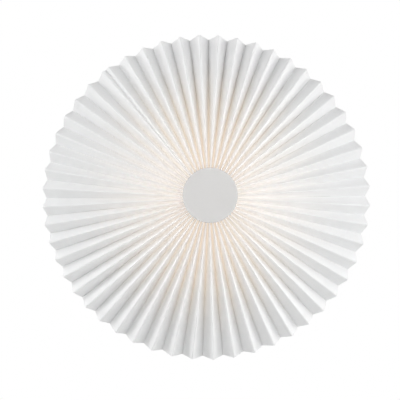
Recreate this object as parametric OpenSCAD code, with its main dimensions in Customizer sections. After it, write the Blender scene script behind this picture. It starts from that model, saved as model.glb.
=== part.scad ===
// Flush wall light: a round pleated cone shade, held at its middle by a flat round cap.
// The origin is on the wall, behind the middle of the light. The light faces -Y and +Z is up.
// Each piece is drawn with x to the right, y up and z out from the wall, then turned by facing().

/* [Pleated shade] */
// Diameter of the shade across the ridge tips
shade_d = 400; // [380:5:460]
// Number of pleats round the shade
pleats = 52; // [46:1:58]
// Width of one flat panel from fold to fold
panel_w = 18; // [17:0.5:20]
// Thickness of the pleated sheet
sheet_t = 0.5; // [0.3:0.05:0.6]
// Slope of the cone back towards the wall, in degrees
cone_slope = 27; // [26:0.5:32]
// Gap between the wall and the valley tips at the rim
rim_gap = 18; // [17:1:40]
// Angle of the glued seam, anticlockwise from the right, in degrees
seam_at = 127.8; // [0:0.1:360]
// Angle between the two ridges beside the seam, in degrees
seam_gap = 2.5; // [2.2:0.1:3.5]
// Thickness of the adhesive tape in the seam
tape_t = 0.3; // [0.2:0.05:0.4]
// How far the hand-set pleats drift once round the shade, in degrees
drift_1 = 1.6; // [0:0.1:2.5]
// How far the pleats drift twice round the shade, in degrees
drift_2 = 1.05; // [0:0.05:1.2]
// How far the pleats drift three times round the shade, in degrees
drift_3 = 0.5; // [0:0.1:0.6]
// How far from the middle the point lies that the folds aim at
aim_off = 3.7; // [0:0.1:4]
// Direction of that point, anticlockwise from the right, in degrees
aim_at = 240; // [0:5:360]

/* [Hub of the shade] */
// Wall of the hub core that the pleats butt against
core_wall = 2; // [1.6:0.1:2.4]
// Width of the core's flange behind the valleys
core_flange_w = 9; // [6:0.5:11]
// Thickness of the core's web round the rod
core_web = 2.5; // [2:0.1:3.5]
// Wall of the spacer tube round the rod
core_tube_wall = 3; // [2:0.1:3.4]
// Thickness of the ring on the ridge ends
ring_t = 2; // [1.6:0.1:2.2]
// How far the ring reaches over the ridge ends
ring_reach = 3; // [2:0.1:3.2]

/* [Cap] */
// Diameter of the cap, which the hub inside it follows
cap_d = 67; // [60:0.5:80]
// Clearance between the cap's skirt and the hub ring
cap_clearance = 0.3; // [0.2:0.05:0.6]
// Thickness of the cap's front
cap_front = 2.5; // [2:0.1:4]
// Wall of the cap's skirt
cap_wall = 1.4; // [1:0.1:1.5]
// Rounding of the cap's front edge
cap_edge_r = 1.2; // [0.6:0.1:1.4]
// Height of the dome of the cap's face
cap_dome = 0.6; // [0.2:0.1:1.2]
// Diameter of the boss that holds the insert
cap_boss_d = 22; // [20:0.5:26]
// Diameter of the brass insert
insert_d = 16; // [14:0.5:17]
// Length of the brass insert
insert_l = 9; // [8:0.5:10]
// Thickness of the fibre washer under the insert
cap_washer_t = 1.2; // [0.8:0.1:2]

/* [Threaded rod and nuts] */
// Diameter of the threaded tube in the middle
rod_d = 10; // [9:0.5:11]
// Bore of the threaded tube
rod_bore = 7; // [5:0.5:7.5]
// Width across the flats of the nuts
nut_af = 14; // [13.5:0.5:16]
// Thickness of a nut
nut_t = 4; // [3:0.5:5]
// Length of rod behind the rear nut
rod_tail = 1.5; // [1:0.1:2]
// Thickness of the washers on the rod
rod_washer_t = 1; // [0.6:0.1:1.4]

/* [Back plate] */
// Diameter of the pressed back plate
plate_d = 140; // [136:1:150]
// Depth of the back plate
plate_h = 12; // [11:0.5:12.5]
// Thickness of the plate's steel
plate_t = 1.2; // [0.8:0.1:1.6]
// Width of the rim that lies on the wall
plate_rim_w = 8; // [5:0.5:9]
// Outer rounding of the plate's front edge
plate_edge_r = 3; // [2:0.5:5]
// Distance between the two wall-screw slots
slot_spacing = 110; // [108:1:112]
// Length of a wall-screw slot
slot_l = 13; // [10:0.5:14]
// Width of a wall-screw slot
slot_w = 5.5; // [4.8:0.1:6]

/* [Cable entry] */
// Bore of the rubber grommet
cable_bore = 8; // [6:0.5:9]
// Diameter of the hole that holds the grommet
grommet_hole_d = 12; // [11:0.5:13]
// Diameter of the grommet's lips
grommet_d = 16; // [15:0.5:18]
// Thickness of each lip of the grommet
grommet_lip = 1.5; // [1:0.1:2]
// Distance from the right edge of the back plate to the cable entry
cable_inset = 26; // [24:0.5:28]
// Place of the cable entry below the middle
cable_drop = 32; // [31:0.5:36]

/* [Lampholders] */
// Height of the lamps' axis above the back plate
lamp_h = 25; // [24.5:0.5:27]
// Thickness of the bracket's steel
bracket_t = 1.5; // [1.2:0.1:2]
// Width of the bracket
bracket_w = 14; // [13:0.5:15]
// Distance from the middle to the outside of an ear
ear_reach = 15.5; // [15:0.5:17]
// Diameter of a lampholder
holder_d = 27; // [26.5:0.5:30]
// Length of a lampholder
holder_l = 30; // [29:0.5:32]
// Thickness of the lampholder's back
holder_base = 4; // [3:0.5:4.5]
// Wall of the threaded metal sleeve in the lampholder
sleeve_t = 0.4; // [0.3:0.05:0.6]
// Clearance between the bulb's screw base and the sleeve
base_clearance = 0.35; // [0.3:0.05:0.5]
// Length of the threaded nipple that holds a lampholder
nipple_l = 9.5; // [9:0.5:10]

/* [Bulbs] */
// Diameter of a bulb
bulb_d = 45; // [40:0.5:46]
// Length of a bulb
bulb_l = 78; // [74:0.5:80]
// Diameter of the bulb's screw base
base_d = 13.9; // [13.5:0.1:14.2]
// Length of the bulb's screw shell
shell_l = 16.5; // [16:0.5:18]
// Wall of the bulb's dome
dome_t = 1.2; // [0.8:0.1:2]

/* [Wire carrier behind the shade] */
// Thickness of the carrier's wire
wire_d = 3; // [2.5:0.1:3.2]
// Distance of the carrier's ring in from the rim, along the slope
ring_inset = 26; // [18:1:40]
// Number of arms on the carrier
arms = 4; // [3:1:6]
// Thickness of the carrier's plate
carrier_plate_t = 1.5; // [1:0.1:2]
// Width of the sloping edge of the carrier's plate
carrier_edge_w = 9; // [6:0.5:14]

/* [Terminal block and earth] */
// Width of the terminal block between its cable sides
block_w = 17; // [16:0.5:18]
// Length of the terminal block
block_l = 30; // [28.5:0.5:31]
// Height of the terminal block
block_h = 14; // [12:0.5:15]
// Diameter of a fixture wire over its insulation
lead_d = 2; // [1.6:0.1:2.1]
// Diameter of the earth screw
earth_screw_d = 4; // [3:0.5:5]
// Thickness of the toothed earth washer
earth_washer_t = 0.8; // [0.5:0.1:1]

/* [Hidden] */

$fn = 96;
// Overlap that lets a cut pass cleanly through a face
cut = 1;
// Radial gap of pieces that are pressed or threaded together
snug = 0.05;
// Gap left for glue between the sheet and the hub
glue_gap = 0.3;
// Gap between pieces that part from each other
seat_gap = 0.3;

// Slope of the cone: along it outwards, and square to it towards the front, as [radius, height]
slope_out = [cos(cone_slope), -sin(cone_slope)];
slope_front = [sin(cone_slope), cos(cone_slope)];

// Hub: radius of the sheet's inner edge, half way between ridge and valley, so that the ring on the
// ridges fits inside the cap's skirt
cap_r = cap_d / 2;
skirt_in_r = cap_r - cap_wall;
hub_r = skirt_in_r - cap_clearance - ring_reach * slope_out.x
    - (ring_t + glue_gap + panel_w / 2) * slope_front.x;

// Pleats: half a pitch in degrees, and the depth from ridge to valley where the sheet's radius is r
half_pitch = (360 - seam_gap) / (2 * pleats);
drift_1_phase = -174;
drift_2_phase = 54;
drift_3_phase = -41;
function depth(r) = sqrt(pow(panel_w, 2) - pow(2 * r * sin(half_pitch / 2), 2));
function drift(a) = drift_1 * sin(a + drift_1_phase) + drift_2 * sin(2 * a + drift_2_phase)
    + drift_3 * sin(3 * a + drift_3_phase);
function ridge(k) = seam_at + seam_gap / 2 + 2 * k * half_pitch + drift(2 * k * half_pitch);
function valley(k) = (ridge(k) + ridge(k + 1)) / 2;

// Middle of the sheet at the rim and at the hub, as [radius, height]
tip_r = shade_d / 2;
rim_r = tip_r - depth(tip_r - depth(tip_r) * slope_front.x / 2) * slope_front.x / 2;
rim_mid = [rim_r, rim_gap + depth(rim_r) * slope_front.y / 2];
hub_mid = [hub_r, rim_mid.y + (rim_r - hub_r) * tan(cone_slope)];
hub_half = depth(hub_r) / 2;
// A point of the sheet's middle where its radius is r, moved a distance towards the front
function on_slope(r, front) = [r, rim_mid.y + (rim_r - r) * tan(cone_slope)] + front * slope_front;

// Hub core: back corner of its wall, where the valleys end
core_corner = hub_mid - glue_gap * slope_out - (hub_half + glue_gap) * slope_front;
core_flange_t = core_wall;

// Carrier: its ring lies behind the valleys, and its arms run from under the core's flange to the ring
wire_r = wire_d / 2;
arm_clearance = 0.6;
arm_drop = hub_half + glue_gap + core_flange_t + arm_clearance + wire_r;
arm_start = hub_mid - arm_drop * slope_front;
ring_mid_r = rim_r - ring_inset * slope_out.x;
ring_centre = on_slope(ring_mid_r, -(depth(ring_mid_r) / 2 + arm_clearance + wire_r));
arm_at_ring = ring_centre - (wire_d + snug) * slope_front;
arm_end = arm_at_ring + (arm_at_ring - arm_start) / norm(arm_at_ring - arm_start) * wire_d;
arm_fall = atan2(arm_start.y - arm_at_ring.y, arm_at_ring.x - arm_start.x);

// The carrier's plate is flat round the rod, and its edge slopes along under the arms
bend_lead = 1;
plate_bend_r = arm_start.x - bend_lead;
carrier_plate_r = plate_bend_r + carrier_edge_w;
carrier_plate_top = arm_start.y + bend_lead * tan(arm_fall) - (wire_r + snug) / cos(arm_fall);

// Place of the cable entry to the right of the middle
cable_x = plate_d / 2 - cable_inset;

// Heights of what is stacked on the rod, from the wall outwards
rod_r = rod_d / 2;
nut_corner_r = nut_af / sqrt(3);
rear_nut_top = plate_h - plate_t - rod_washer_t;
bracket_top = plate_h + bracket_t;
front_nut_base = bracket_top + rod_washer_t;
lower_carrier_nut = carrier_plate_top - carrier_plate_t - nut_t;
web_base = carrier_plate_top + nut_t + seat_gap;

// Cap: its skirt clears the ridges, and its ceiling clears the hub ring
ridge_end = hub_mid + hub_half * slope_front;
skirt_base = ridge_end.y - (skirt_in_r - ridge_end.x) * tan(cone_slope) + seat_gap;
ring_in_top = ridge_end - (glue_gap + core_wall) * slope_out + (glue_gap + ring_t) * slope_front;
cap_ceiling = ring_in_top.y + seat_gap;
cap_face = cap_ceiling + cap_front;
insert_base = cap_ceiling - insert_l;
washer_base = insert_base - seat_gap - cap_washer_t;
core_tube_top = washer_base - seat_gap;
rod_end_gap = 2;
rod_top = cap_ceiling - rod_end_gap;
rod_base = rear_nut_top - nut_t - rod_tail;
rod_hole_r = rod_r + seat_gap;

// Lamp axis, and places along it measured outwards from the middle of the light
lamp_z = plate_h + lamp_h;
holder_end = ear_reach + holder_l;
contact_at = ear_reach + holder_base + 0.1;
contact_t = 0.4;
contact_h = 4.3;
bulb_tip = contact_at + contact_h + seat_gap;
button_h = 1.5;
insulator_h = 2.8;
button_r = 2.6;
shell_base = bulb_tip + button_h + insulator_h;
shell_end = shell_base + shell_l;
base_r = base_d / 2;
shell_t = 0.5;
sleeve_r = base_r + base_clearance;
sleeve_base = contact_at + contact_h;
mouth_l = 4.5;
mouth_r = holder_d / 2 - 3;
mouth_at = holder_end - mouth_l;
bulb_r = bulb_d / 2;
bulb_centre = bulb_tip + bulb_l - bulb_r;
collar_r = base_r + 1.5;
collar_at = shell_end - 2;
neck_r = base_r + 2.3;
neck_at = shell_end + 2;
dome_at = bulb_centre - bulb_r * 0.48;
dome_base_r = sqrt(pow(bulb_r, 2) - pow(bulb_centre - dome_at, 2));

// Terminal block: its place, and its three poles
block_x = 22;
pole_pitch = 10;
pole_z = plate_h + 7.3;
pole_r = 3;
sleeve_pole_r = 2;
sleeve_inset = 2;
pole_screw_r = 1.5;
pole_screw_gap = 8;
block_screw_r = 1.5;
block_screw_y = 5;

// Earth screw: its place, and the stack under its head
earth_x = 28;
earth_y = 34;
earth_washer_top = plate_h + earth_washer_t;
lug_t = 0.8;
earth_head_h = 2.6;
lug_barrel_end = [22.6, 27.6];

// Fixture wires: they leave a lampholder's back at these places and end in the block's poles
lead_r = lead_d / 2;
entry_x = 9.96;
entry_z = 5.75;
pole_end_x = block_x + sleeve_inset - snug;
pole_lead_z = 1.1;

module facing() rotate([90, 0, 0]) children();

// Turns a piece drawn along z onto the lamp axis, upwards for side 1 and downwards for side -1
module on_lamp(side) facing() translate([0, 0, lamp_z]) rotate([-90 * side, 0, 0]) children();

module ring_solid(r_out, r_in, z0, z1) {
    translate([0, 0, z0]) difference() {
        cylinder(r = r_out, h = z1 - z0);
        translate([0, 0, -cut]) cylinder(r = r_in, h = z1 - z0 + 2 * cut);
    }
}

module hex_nut(z0, thickness) {
    translate([0, 0, z0]) difference() {
        cylinder(r = nut_corner_r, h = thickness, $fn = 6);
        translate([0, 0, -cut]) cylinder(r = rod_r + snug, h = thickness + 2 * cut);
    }
}

// A smooth line through points, with a number of steps in each span
function spline(p, steps) = let (last = len(p) - 1) [
    for (i = [0:last - 1], s = [0:steps - 1])
        let (t = s / steps, a = p[max(i - 1, 0)], b = p[i], c = p[i + 1], d = p[min(i + 2, last)])
        0.5 * ((2 * b) + (c - a) * t + (2 * a - 5 * b + 4 * c - d) * t * t
            + (3 * b - a - 3 * c + d) * t * t * t),
    p[last]];

function unit(v) = v / norm(v);

// Faces between rings of m points each. Where turns(i) holds, the face after point i is split the other way
function skin(m, rings, turns = function(i) false) = [for (j = [0:rings - 2], i = [0:m - 1])
    let (a = j * m + i, b = j * m + (i + 1) % m)
    each turns(i) ? [[a, b, a + m], [b, b + m, a + m]] : [[a, b, b + m], [a, b + m, a + m]]];

// A round wire along a line. Its first and last rings lie square to the given directions
module lead(points, start_dir, end_dir) {
    sides = 8;
    path = spline(points, 3);
    last = len(path) - 1;
    aim = [1, 0.9, 1];
    verts = [for (i = [0:last])
        let (t = i == 0 ? start_dir : i == last ? end_dir : unit(path[i + 1] - path[i - 1]),
            u = unit(cross(t, aim)), v = cross(t, u))
        for (k = [0:sides - 1]) path[i] + lead_r * (cos(360 * k / sides) * u + sin(360 * k / sides) * v)];
    near_end = [for (k = [sides - 1:-1:0]) k];
    far_end = [for (k = [0:sides - 1]) last * sides + k];
    facing() polyhedron(verts, concat([near_end], skin(sides, last + 1), [far_end]));
}

// Angle at step j of a fold that meets the rim at an angle. The fold is straight, but aims beside the middle
fold_steps = 5;
function sheet_r(j) = hub_r + (rim_r - hub_r) * j / fold_steps;
function aimed(j, angle) = angle + aim_off * sin(aim_at - angle) * (1 / sheet_r(j) - 1 / rim_r) * 180 / PI;

// A point of the sheet at step j along the slope, on a fold that meets the rim at an angle, between
// valley (-1) and ridge (1), moved sideways round the shade
function sheet_point(j, angle, level, side) = let (
    c = on_slope(sheet_r(j), level * depth(sheet_r(j)) / 2), a = aimed(j, angle))
    [c.x * cos(a) - side * sin(a), c.x * sin(a) + side * cos(a), c.y];

// Share of half the depth by which a fold's inner corner falls short of the fold
function fold_drop(j, k) = let (pitch = aimed(j, ridge(k + 1)) - aimed(j, ridge(k)))
    sheet_t / (sheet_r(j) * pitch / 2 * PI / 180);
seam_angle = (ridge(0) + ridge(pleats) - 360) / 2;
notch = 1 - (ridge(0) - seam_angle) / (valley(0) - ridge(0)) * 2;
fin_end = -0.55;
half_tape = tape_t / 2;
tape_slack = 0.02;
tape_drop = 0.06;

// One ring of the sheet: its front from the seam round to the seam, then its back the same way
function front_ring(j) = concat(
    [sheet_point(j, seam_angle, fin_end, half_tape), sheet_point(j, seam_angle, notch, half_tape)],
    [for (k = [0:pleats]) each concat(
        [sheet_point(j, ridge(k), 1, -sheet_t / 2), sheet_point(j, ridge(k), 1, sheet_t / 2)],
        k == pleats ? [] : [sheet_point(j, valley(k), fold_drop(j, k) - 1, 0)])],
    [sheet_point(j, seam_angle, notch, -half_tape), sheet_point(j, seam_angle, fin_end, -half_tape)]);
function back_ring(j) = concat(
    [sheet_point(j, seam_angle, fin_end, half_tape + sheet_t),
        sheet_point(j, seam_angle, notch, half_tape + sheet_t)],
    [for (k = [0:pleats]) each concat(
        [sheet_point(j, ridge(k), 1 - fold_drop(j, min(k, pleats - 1)), 0)],
        k == pleats ? [] : [sheet_point(j, valley(k), -1, -sheet_t / 2),
            sheet_point(j, valley(k), -1, sheet_t / 2)])],
    [sheet_point(j, seam_angle, notch, -half_tape - sheet_t),
        sheet_point(j, seam_angle, fin_end, -half_tape - sheet_t)]);
front_n = 3 * pleats + 6;
back_n = 3 * pleats + 5;

// Holds where a ring goes from a valley up to a ridge, so that front and back are split alike
uphill = function(i) i < front_n ? i % 3 == 1 : (front_n + back_n - 1 - i) % 3 == 0;

// The cut end of the sheet, as triangles between its front f and its back b
function sheet_end() = let (f = function(i) i, b = function(i) front_n + back_n - 1 - i) concat(
    [[f(0), f(1), b(1)], [f(0), b(1), b(0)], [f(1), f(2), b(2)], [f(1), b(2), b(1)]],
    [for (k = [0:pleats]) [f(3 * k + 2), f(3 * k + 3), b(3 * k + 2)]],
    [for (k = [0:pleats - 1]) let (p = 3 * k + 2) each [
        [f(p + 1), f(p + 2), b(p + 1)], [f(p + 1), b(p + 1), b(p)], [f(p + 2), b(p + 2), b(p + 1)],
        [f(p + 2), f(p + 3), b(p + 3)], [f(p + 2), b(p + 3), b(p + 2)]]],
    let (p = 3 * pleats + 2) [
        [f(p + 1), f(p + 2), b(p + 1)], [f(p + 1), b(p + 1), b(p)],
        [f(p + 2), f(p + 3), b(p + 2)], [f(p + 2), b(p + 2), b(p + 1)]]);

function turned(faces) = [for (t = faces) [t[2], t[1], t[0]]];
function shifted(faces, by) = [for (t = faces) [for (i = t) i + by]];
function backwards(list) = [for (i = [len(list) - 1:-1:0]) list[i]];

module pleated_shade() {
    m = front_n + back_n;
    verts = [for (j = [0:fold_steps]) each concat(front_ring(j), backwards(back_ring(j)))];
    color("white") facing() polyhedron(verts,
        concat(turned(sheet_end()), skin(m, fold_steps + 1, uphill), shifted(sheet_end(), m * fold_steps)));
}

// Double-sided tape between the two turned-in ends of the sheet
module seam_tape() {
    half = half_tape - tape_slack;
    tape_top = notch - tape_drop;
    verts = [for (j = [0:fold_steps]) each [
        sheet_point(j, seam_angle, fin_end, half), sheet_point(j, seam_angle, tape_top, half),
        sheet_point(j, seam_angle, tape_top, -half), sheet_point(j, seam_angle, fin_end, -half)]];
    last = 4 * fold_steps;
    color("khaki") facing() polyhedron(verts,
        concat([[3, 2, 1, 0]], skin(4, fold_steps + 1), [[last, last + 1, last + 2, last + 3]]));
}

// Moulded core: the pleats butt against its wall, and its flange backs the valleys
module hub_core() {
    wall_top = core_corner + (2 * hub_half + 2 * glue_gap - snug) * slope_front;
    inner = core_corner - core_wall * slope_out;
    flange_end = core_corner + core_flange_w * slope_out;
    color("ivory") facing() union() {
        rotate_extrude() polygon([core_corner, wall_top, wall_top - core_wall * slope_out, inner]);
        rotate_extrude() polygon([inner, flange_end, flange_end - core_flange_t * slope_front,
            inner - core_flange_t * slope_front]);
        ring_solid(core_corner.x - 0.1, rod_hole_r, web_base, web_base + core_web);
        ring_solid(rod_hole_r + core_tube_wall, rod_hole_r, web_base, core_tube_top);
    }
}

// Ring that holds the ridge ends down on the core
module hub_ring() {
    base = ridge_end + glue_gap * slope_front;
    inner = base - (glue_gap + core_wall) * slope_out;
    outer = base + ring_reach * slope_out;
    color("ivory") facing() rotate_extrude()
        polygon([inner, outer, outer + ring_t * slope_front, inner + ring_t * slope_front]);
}

module cap_washer() {
    color("sienna") facing() ring_solid(cap_boss_d / 2, rod_hole_r, washer_base, washer_base + cap_washer_t);
}

// Half outline of the cap's outside: skirt, rounded edge and a slight dome
dome_steps = 6;
function cap_outline() = concat(
    [[0, skirt_base], [cap_r, skirt_base]],
    [for (a = [0:15:90]) [cap_r - cap_edge_r * (1 - cos(a)), cap_face - cap_edge_r * (1 - sin(a))]],
    [for (i = [1:dome_steps]) let (t = i / dome_steps)
        [(cap_r - cap_edge_r) * (1 - t), cap_face + cap_dome * (1 - pow(1 - t, 2))]]);

module cap() {
    color("gainsboro") facing() difference() {
        union() {
            difference() {
                rotate_extrude() polygon(cap_outline());
                translate([0, 0, skirt_base - cut]) cylinder(r = skirt_in_r, h = cap_ceiling - skirt_base + cut);
            }
            translate([0, 0, insert_base]) cylinder(d = cap_boss_d, h = cap_face - insert_base);
        }
        translate([0, 0, insert_base - cut]) cylinder(d = insert_d + 2 * snug, h = insert_l + cut);
    }
}

module cap_insert() {
    color("goldenrod") facing() ring_solid(insert_d / 2, rod_r + snug, insert_base, cap_ceiling - snug);
}

module centre_rod() {
    color("silver") facing() ring_solid(rod_r, rod_bore / 2, rod_base, rod_top);
}

module rod_nuts() {
    color("silver") facing() {
        hex_nut(rear_nut_top - nut_t, nut_t);
        hex_nut(front_nut_base, nut_t);
        hex_nut(lower_carrier_nut, nut_t);
        hex_nut(carrier_plate_top, nut_t);
    }
}

module rod_washers() {
    color("silver") facing() {
        ring_solid(nut_corner_r + 1, rod_r + snug, rear_nut_top, rear_nut_top + rod_washer_t);
        ring_solid(nut_corner_r - 1, rod_r + snug, bracket_top, bracket_top + rod_washer_t);
    }
}

module carrier_plate() {
    edge_z = carrier_plate_top - carrier_edge_w * tan(arm_fall);
    color("silver") facing() rotate_extrude() polygon([[rod_r + snug, carrier_plate_top],
        [plate_bend_r, carrier_plate_top], [carrier_plate_r, edge_z],
        [carrier_plate_r, edge_z - carrier_plate_t], [plate_bend_r, carrier_plate_top - carrier_plate_t],
        [rod_r + snug, carrier_plate_top - carrier_plate_t]]);
}

// Pleat valley nearest to an angle
function nearest_valley(a) = let (turn = ((a - ridge(0)) % 360 + 360) % 360)
    valley(round(turn / (2 * half_pitch) - 0.5));

// Each arm is a straight wire from the plate's sloping edge to the ring
module carrier_arms() {
    color("silver") facing() for (i = [0:arms - 1]) rotate([0, 0, nearest_valley(360 / arms * (i + 0.5))])
        translate([arm_start.x, 0, arm_start.y]) rotate([0, 90 + arm_fall, 0])
            cylinder(r = wire_r, h = norm(arm_end - arm_start));
}

module carrier_ring() {
    color("silver") facing() translate([0, 0, ring_centre.y]) rotate_extrude()
        translate([ring_centre.x, 0]) circle(r = wire_r, $fn = 32);
}

// A box in the plane with one rounded outer corner
module rounded_profile(w, h, r) {
    square([w - r, h]);
    square([w, h - r]);
    translate([w - r, h - r]) circle(r = r);
}

module slot_hole(x) {
    half = slot_l / 2 - slot_w / 2;
    translate([x, 0, plate_h - plate_t - cut]) {
        translate([-half, 0, 0]) cylinder(d = slot_w, h = plate_t + 2 * cut);
        translate([half, 0, 0]) cylinder(d = slot_w, h = plate_t + 2 * cut);
        translate([-half, -slot_w / 2, 0]) cube([2 * half, slot_w, plate_t + 2 * cut]);
    }
}

module plate_hole(x, y, r) {
    translate([x, y, plate_h - plate_t - cut]) cylinder(r = r, h = plate_t + 2 * cut);
}

module back_plate() {
    plate_r = plate_d / 2;
    color("white") facing() difference() {
        rotate_extrude() {
            difference() {
                rounded_profile(plate_r, plate_h, plate_edge_r);
                translate([0, -cut]) rounded_profile(plate_r - plate_t, plate_h - plate_t + cut,
                    plate_edge_r - plate_t);
            }
            translate([plate_r - plate_rim_w, 0]) square([plate_rim_w - plate_t / 2, plate_t]);
        }
        plate_hole(0, 0, rod_r + 2 * snug);
        plate_hole(cable_x, -cable_drop, grommet_hole_d / 2);
        plate_hole(earth_x, earth_y, earth_screw_d / 2 + snug);
        for (y = [-block_screw_y, block_screw_y]) plate_hole(block_x + block_w / 2, y, block_screw_r + snug);
        slot_hole(-slot_spacing / 2);
        slot_hole(slot_spacing / 2);
    }
}

module cable_grommet() {
    back = plate_h - plate_t;
    color("dimgray") facing() translate([cable_x, -cable_drop, 0]) union() {
        ring_solid(grommet_d / 2, cable_bore / 2, back - grommet_lip, back);
        ring_solid(grommet_hole_d / 2 - snug, cable_bore / 2, back - grommet_lip, plate_h + grommet_lip);
        ring_solid(grommet_d / 2, cable_bore / 2, plate_h, plate_h + grommet_lip);
    }
}

module at_poles() {
    for (i = [-1:1]) translate([block_x, i * pole_pitch, pole_z]) children();
}

module terminal_block() {
    tower_w = 7;
    tower_h = 3;
    color("whitesmoke") facing() difference() {
        union() {
            translate([block_x, -block_l / 2, plate_h]) cube([block_w, block_l, block_h - tower_h]);
            at_poles() for (x = [-1, 1])
                translate([block_w / 2 + x * pole_screw_gap / 2, 0, plate_h - pole_z])
                    cylinder(d = tower_w, h = block_h);
        }
        at_poles() translate([-cut, 0, 0]) rotate([0, 90, 0]) cylinder(r = pole_r, h = block_w + 2 * cut);
        at_poles() for (x = [-1, 1]) translate([block_w / 2 + x * pole_screw_gap / 2, 0, 0])
            cylinder(r = pole_screw_r + 2 * snug, h = block_h);
        for (y = [-block_screw_y, block_screw_y]) translate([block_x + block_w / 2, y, plate_h - cut])
            cylinder(r = block_screw_r + snug, h = block_h + 2 * cut);
    }
}

module terminal_sleeves() {
    color("goldenrod") facing() at_poles() translate([sleeve_inset, 0, 0]) difference() {
        rotate([0, 90, 0]) cylinder(r = pole_r - snug, h = block_w - 2 * sleeve_inset);
        translate([-cut, 0, 0]) rotate([0, 90, 0])
            cylinder(r = sleeve_pole_r, h = block_w - 2 * sleeve_inset + 2 * cut);
        for (x = [-1, 1]) translate([block_w / 2 - sleeve_inset + x * pole_screw_gap / 2, 0, 0])
            cylinder(r = pole_screw_r + snug, h = pole_r + cut);
    }
}

// A slotted screw without a head, or with one if head_r is more than r
module slotted_screw(r, z0, z1, head_r, head_h) {
    difference() {
        union() {
            translate([0, 0, z0]) cylinder(r = r, h = z1 - z0);
            translate([0, 0, z1]) cylinder(r = head_r, h = head_h);
        }
        translate([-head_r - cut, -0.3, z1 + head_h - 0.8]) cube([2 * (head_r + cut), 0.6, 0.8 + cut]);
    }
}

module terminal_screws() {
    color("silver") facing() at_poles() for (x = [-1, 1])
        translate([block_w / 2 + x * pole_screw_gap / 2, 0, 0])
            slotted_screw(pole_screw_r, 0.8, block_h - (pole_z - plate_h) - 2.3, pole_screw_r, 1.5);
}

module block_screws() {
    head_h = 1.6;
    seat = plate_h + block_h - 3;
    color("silver") facing() for (y = [-block_screw_y, block_screw_y])
        translate([block_x + block_w / 2, y, 0])
            slotted_screw(block_screw_r, plate_h - plate_t - 3, seat, block_screw_r + 0.5, head_h);
}

module earth_screw() {
    color("goldenrod") facing() translate([earth_x, earth_y, 0])
        slotted_screw(earth_screw_d / 2, plate_h - plate_t - 4, earth_washer_top + lug_t, earth_screw_d * 0.95,
            earth_head_h);
}

module earth_washer() {
    teeth = 10;
    tooth_r = earth_screw_d * 0.95;
    color("silver") facing() translate([earth_x, earth_y, 0]) union() {
        ring_solid(tooth_r, earth_screw_d / 2 + snug, plate_h, earth_washer_top);
        for (i = [0:teeth - 1]) rotate([0, 0, i * 360 / teeth])
            translate([tooth_r - 0.2, -0.5, plate_h]) cube([0.9, 1, earth_washer_t]);
    }
}

// Ring terminal under the earth screw, with the barrel that holds the wire
module earth_lug() {
    v = lug_barrel_end - [earth_x, earth_y];
    length = norm(v);
    barrel_l = 3;
    barrel_r = lead_r + 0.5;
    color("silver") facing() translate([earth_x, earth_y, 0]) difference() {
        union() {
            ring_solid(earth_screw_d * 0.95, earth_screw_d / 2 + snug, earth_washer_top, earth_washer_top + lug_t);
            rotate([0, 0, atan2(v.y, v.x)]) {
                translate([earth_screw_d * 0.75, -1.2, earth_washer_top]) cube([length - earth_screw_d * 0.75, 2.4, lug_t]);
                translate([length - barrel_l, 0, earth_washer_top + barrel_r])
                    rotate([0, 90, 0]) cylinder(r = barrel_r, h = barrel_l);
            }
        }
        translate([0, 0, earth_washer_top - cut]) cylinder(r = earth_screw_d / 2 + snug, h = 2 * barrel_r + 2 * cut);
    }
}

module earth_wire() {
    v = unit(lug_barrel_end - [earth_x, earth_y]);
    z = earth_washer_top + lead_r + 0.5;
    end = lug_barrel_end + 0.05 * v;
    color("yellowgreen") lead([[end.x, end.y, z], [end.x - 1.4, end.y - 1.8, z + 0.6],
        [block_x - 3.8, 2 * pole_pitch, z + 0.9], [block_x - 5, 1.2 * pole_pitch, z + 1.3],
        [block_x - 4.8, pole_pitch / 2, z + 2.3], [block_x - 2.8, 0.08 * pole_pitch, pole_z - 0.7],
        [pole_end_x, 0, pole_z]], [v.x, v.y, 0], [1, 0, 0]);
}

// Wires of the upper (1) and lower (-1) lampholder. The near one goes straight to its pole
module near_lead(side) {
    lead([[entry_x, side * ear_reach, lamp_z - entry_z], [10.1, side * 12.8, lamp_z - 6.2],
        [12, side * 9.8, lamp_z - 9.5], [14.8, side * 9.2, lamp_z - 14.5],
        [18.2, side * 9.8, lamp_z - 18.4], [pole_end_x, side * pole_pitch, pole_z - pole_lead_z]],
        [0, -side, 0], [1, 0, 0]);
}

// The far one crosses to the other pole, in front of the near ones, at its own distance out
module far_lead(side, out) {
    lead([[entry_x, side * ear_reach, lamp_z + entry_z], [10.3, side * 12.4, lamp_z + 5.6],
        [12 + out / 2, side * 7, lamp_z + 3.4], [13.4 + out, side * 1.2, lamp_z - 3],
        [15 + out / 2, side * -5.2, lamp_z - 10.4], [18.6, side * -9.2, lamp_z - 15.6],
        [pole_end_x, side * -pole_pitch, pole_z + pole_lead_z]], [0, -side, 0], [1, 0, 0]);
}

module live_wires() {
    color("saddlebrown") {
        far_lead(1, 0);
        near_lead(-1);
    }
}

module neutral_wires() {
    color("royalblue") {
        far_lead(-1, 3.4);
        near_lead(1);
    }
}

// U-shaped bracket with an ear for each lampholder
module holder_bracket() {
    color("silver") facing() difference() {
        union() {
            translate([-bracket_w / 2, -ear_reach, plate_h]) cube([bracket_w, 2 * ear_reach, bracket_t]);
            for (y = [-ear_reach, ear_reach - bracket_t]) translate([0, y, 0]) {
                translate([-bracket_w / 2, 0, plate_h]) cube([bracket_w, bracket_t, lamp_h]);
                translate([0, 0, lamp_z]) rotate([-90, 0, 0]) cylinder(d = bracket_w, h = bracket_t);
            }
        }
        translate([0, -ear_reach - cut, lamp_z]) rotate([-90, 0, 0])
            cylinder(r = rod_r + 2 * snug, h = 2 * (ear_reach + cut));
        translate([0, 0, plate_h - cut]) cylinder(r = rod_r + 2 * snug, h = bracket_t + 2 * cut);
    }
}

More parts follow.
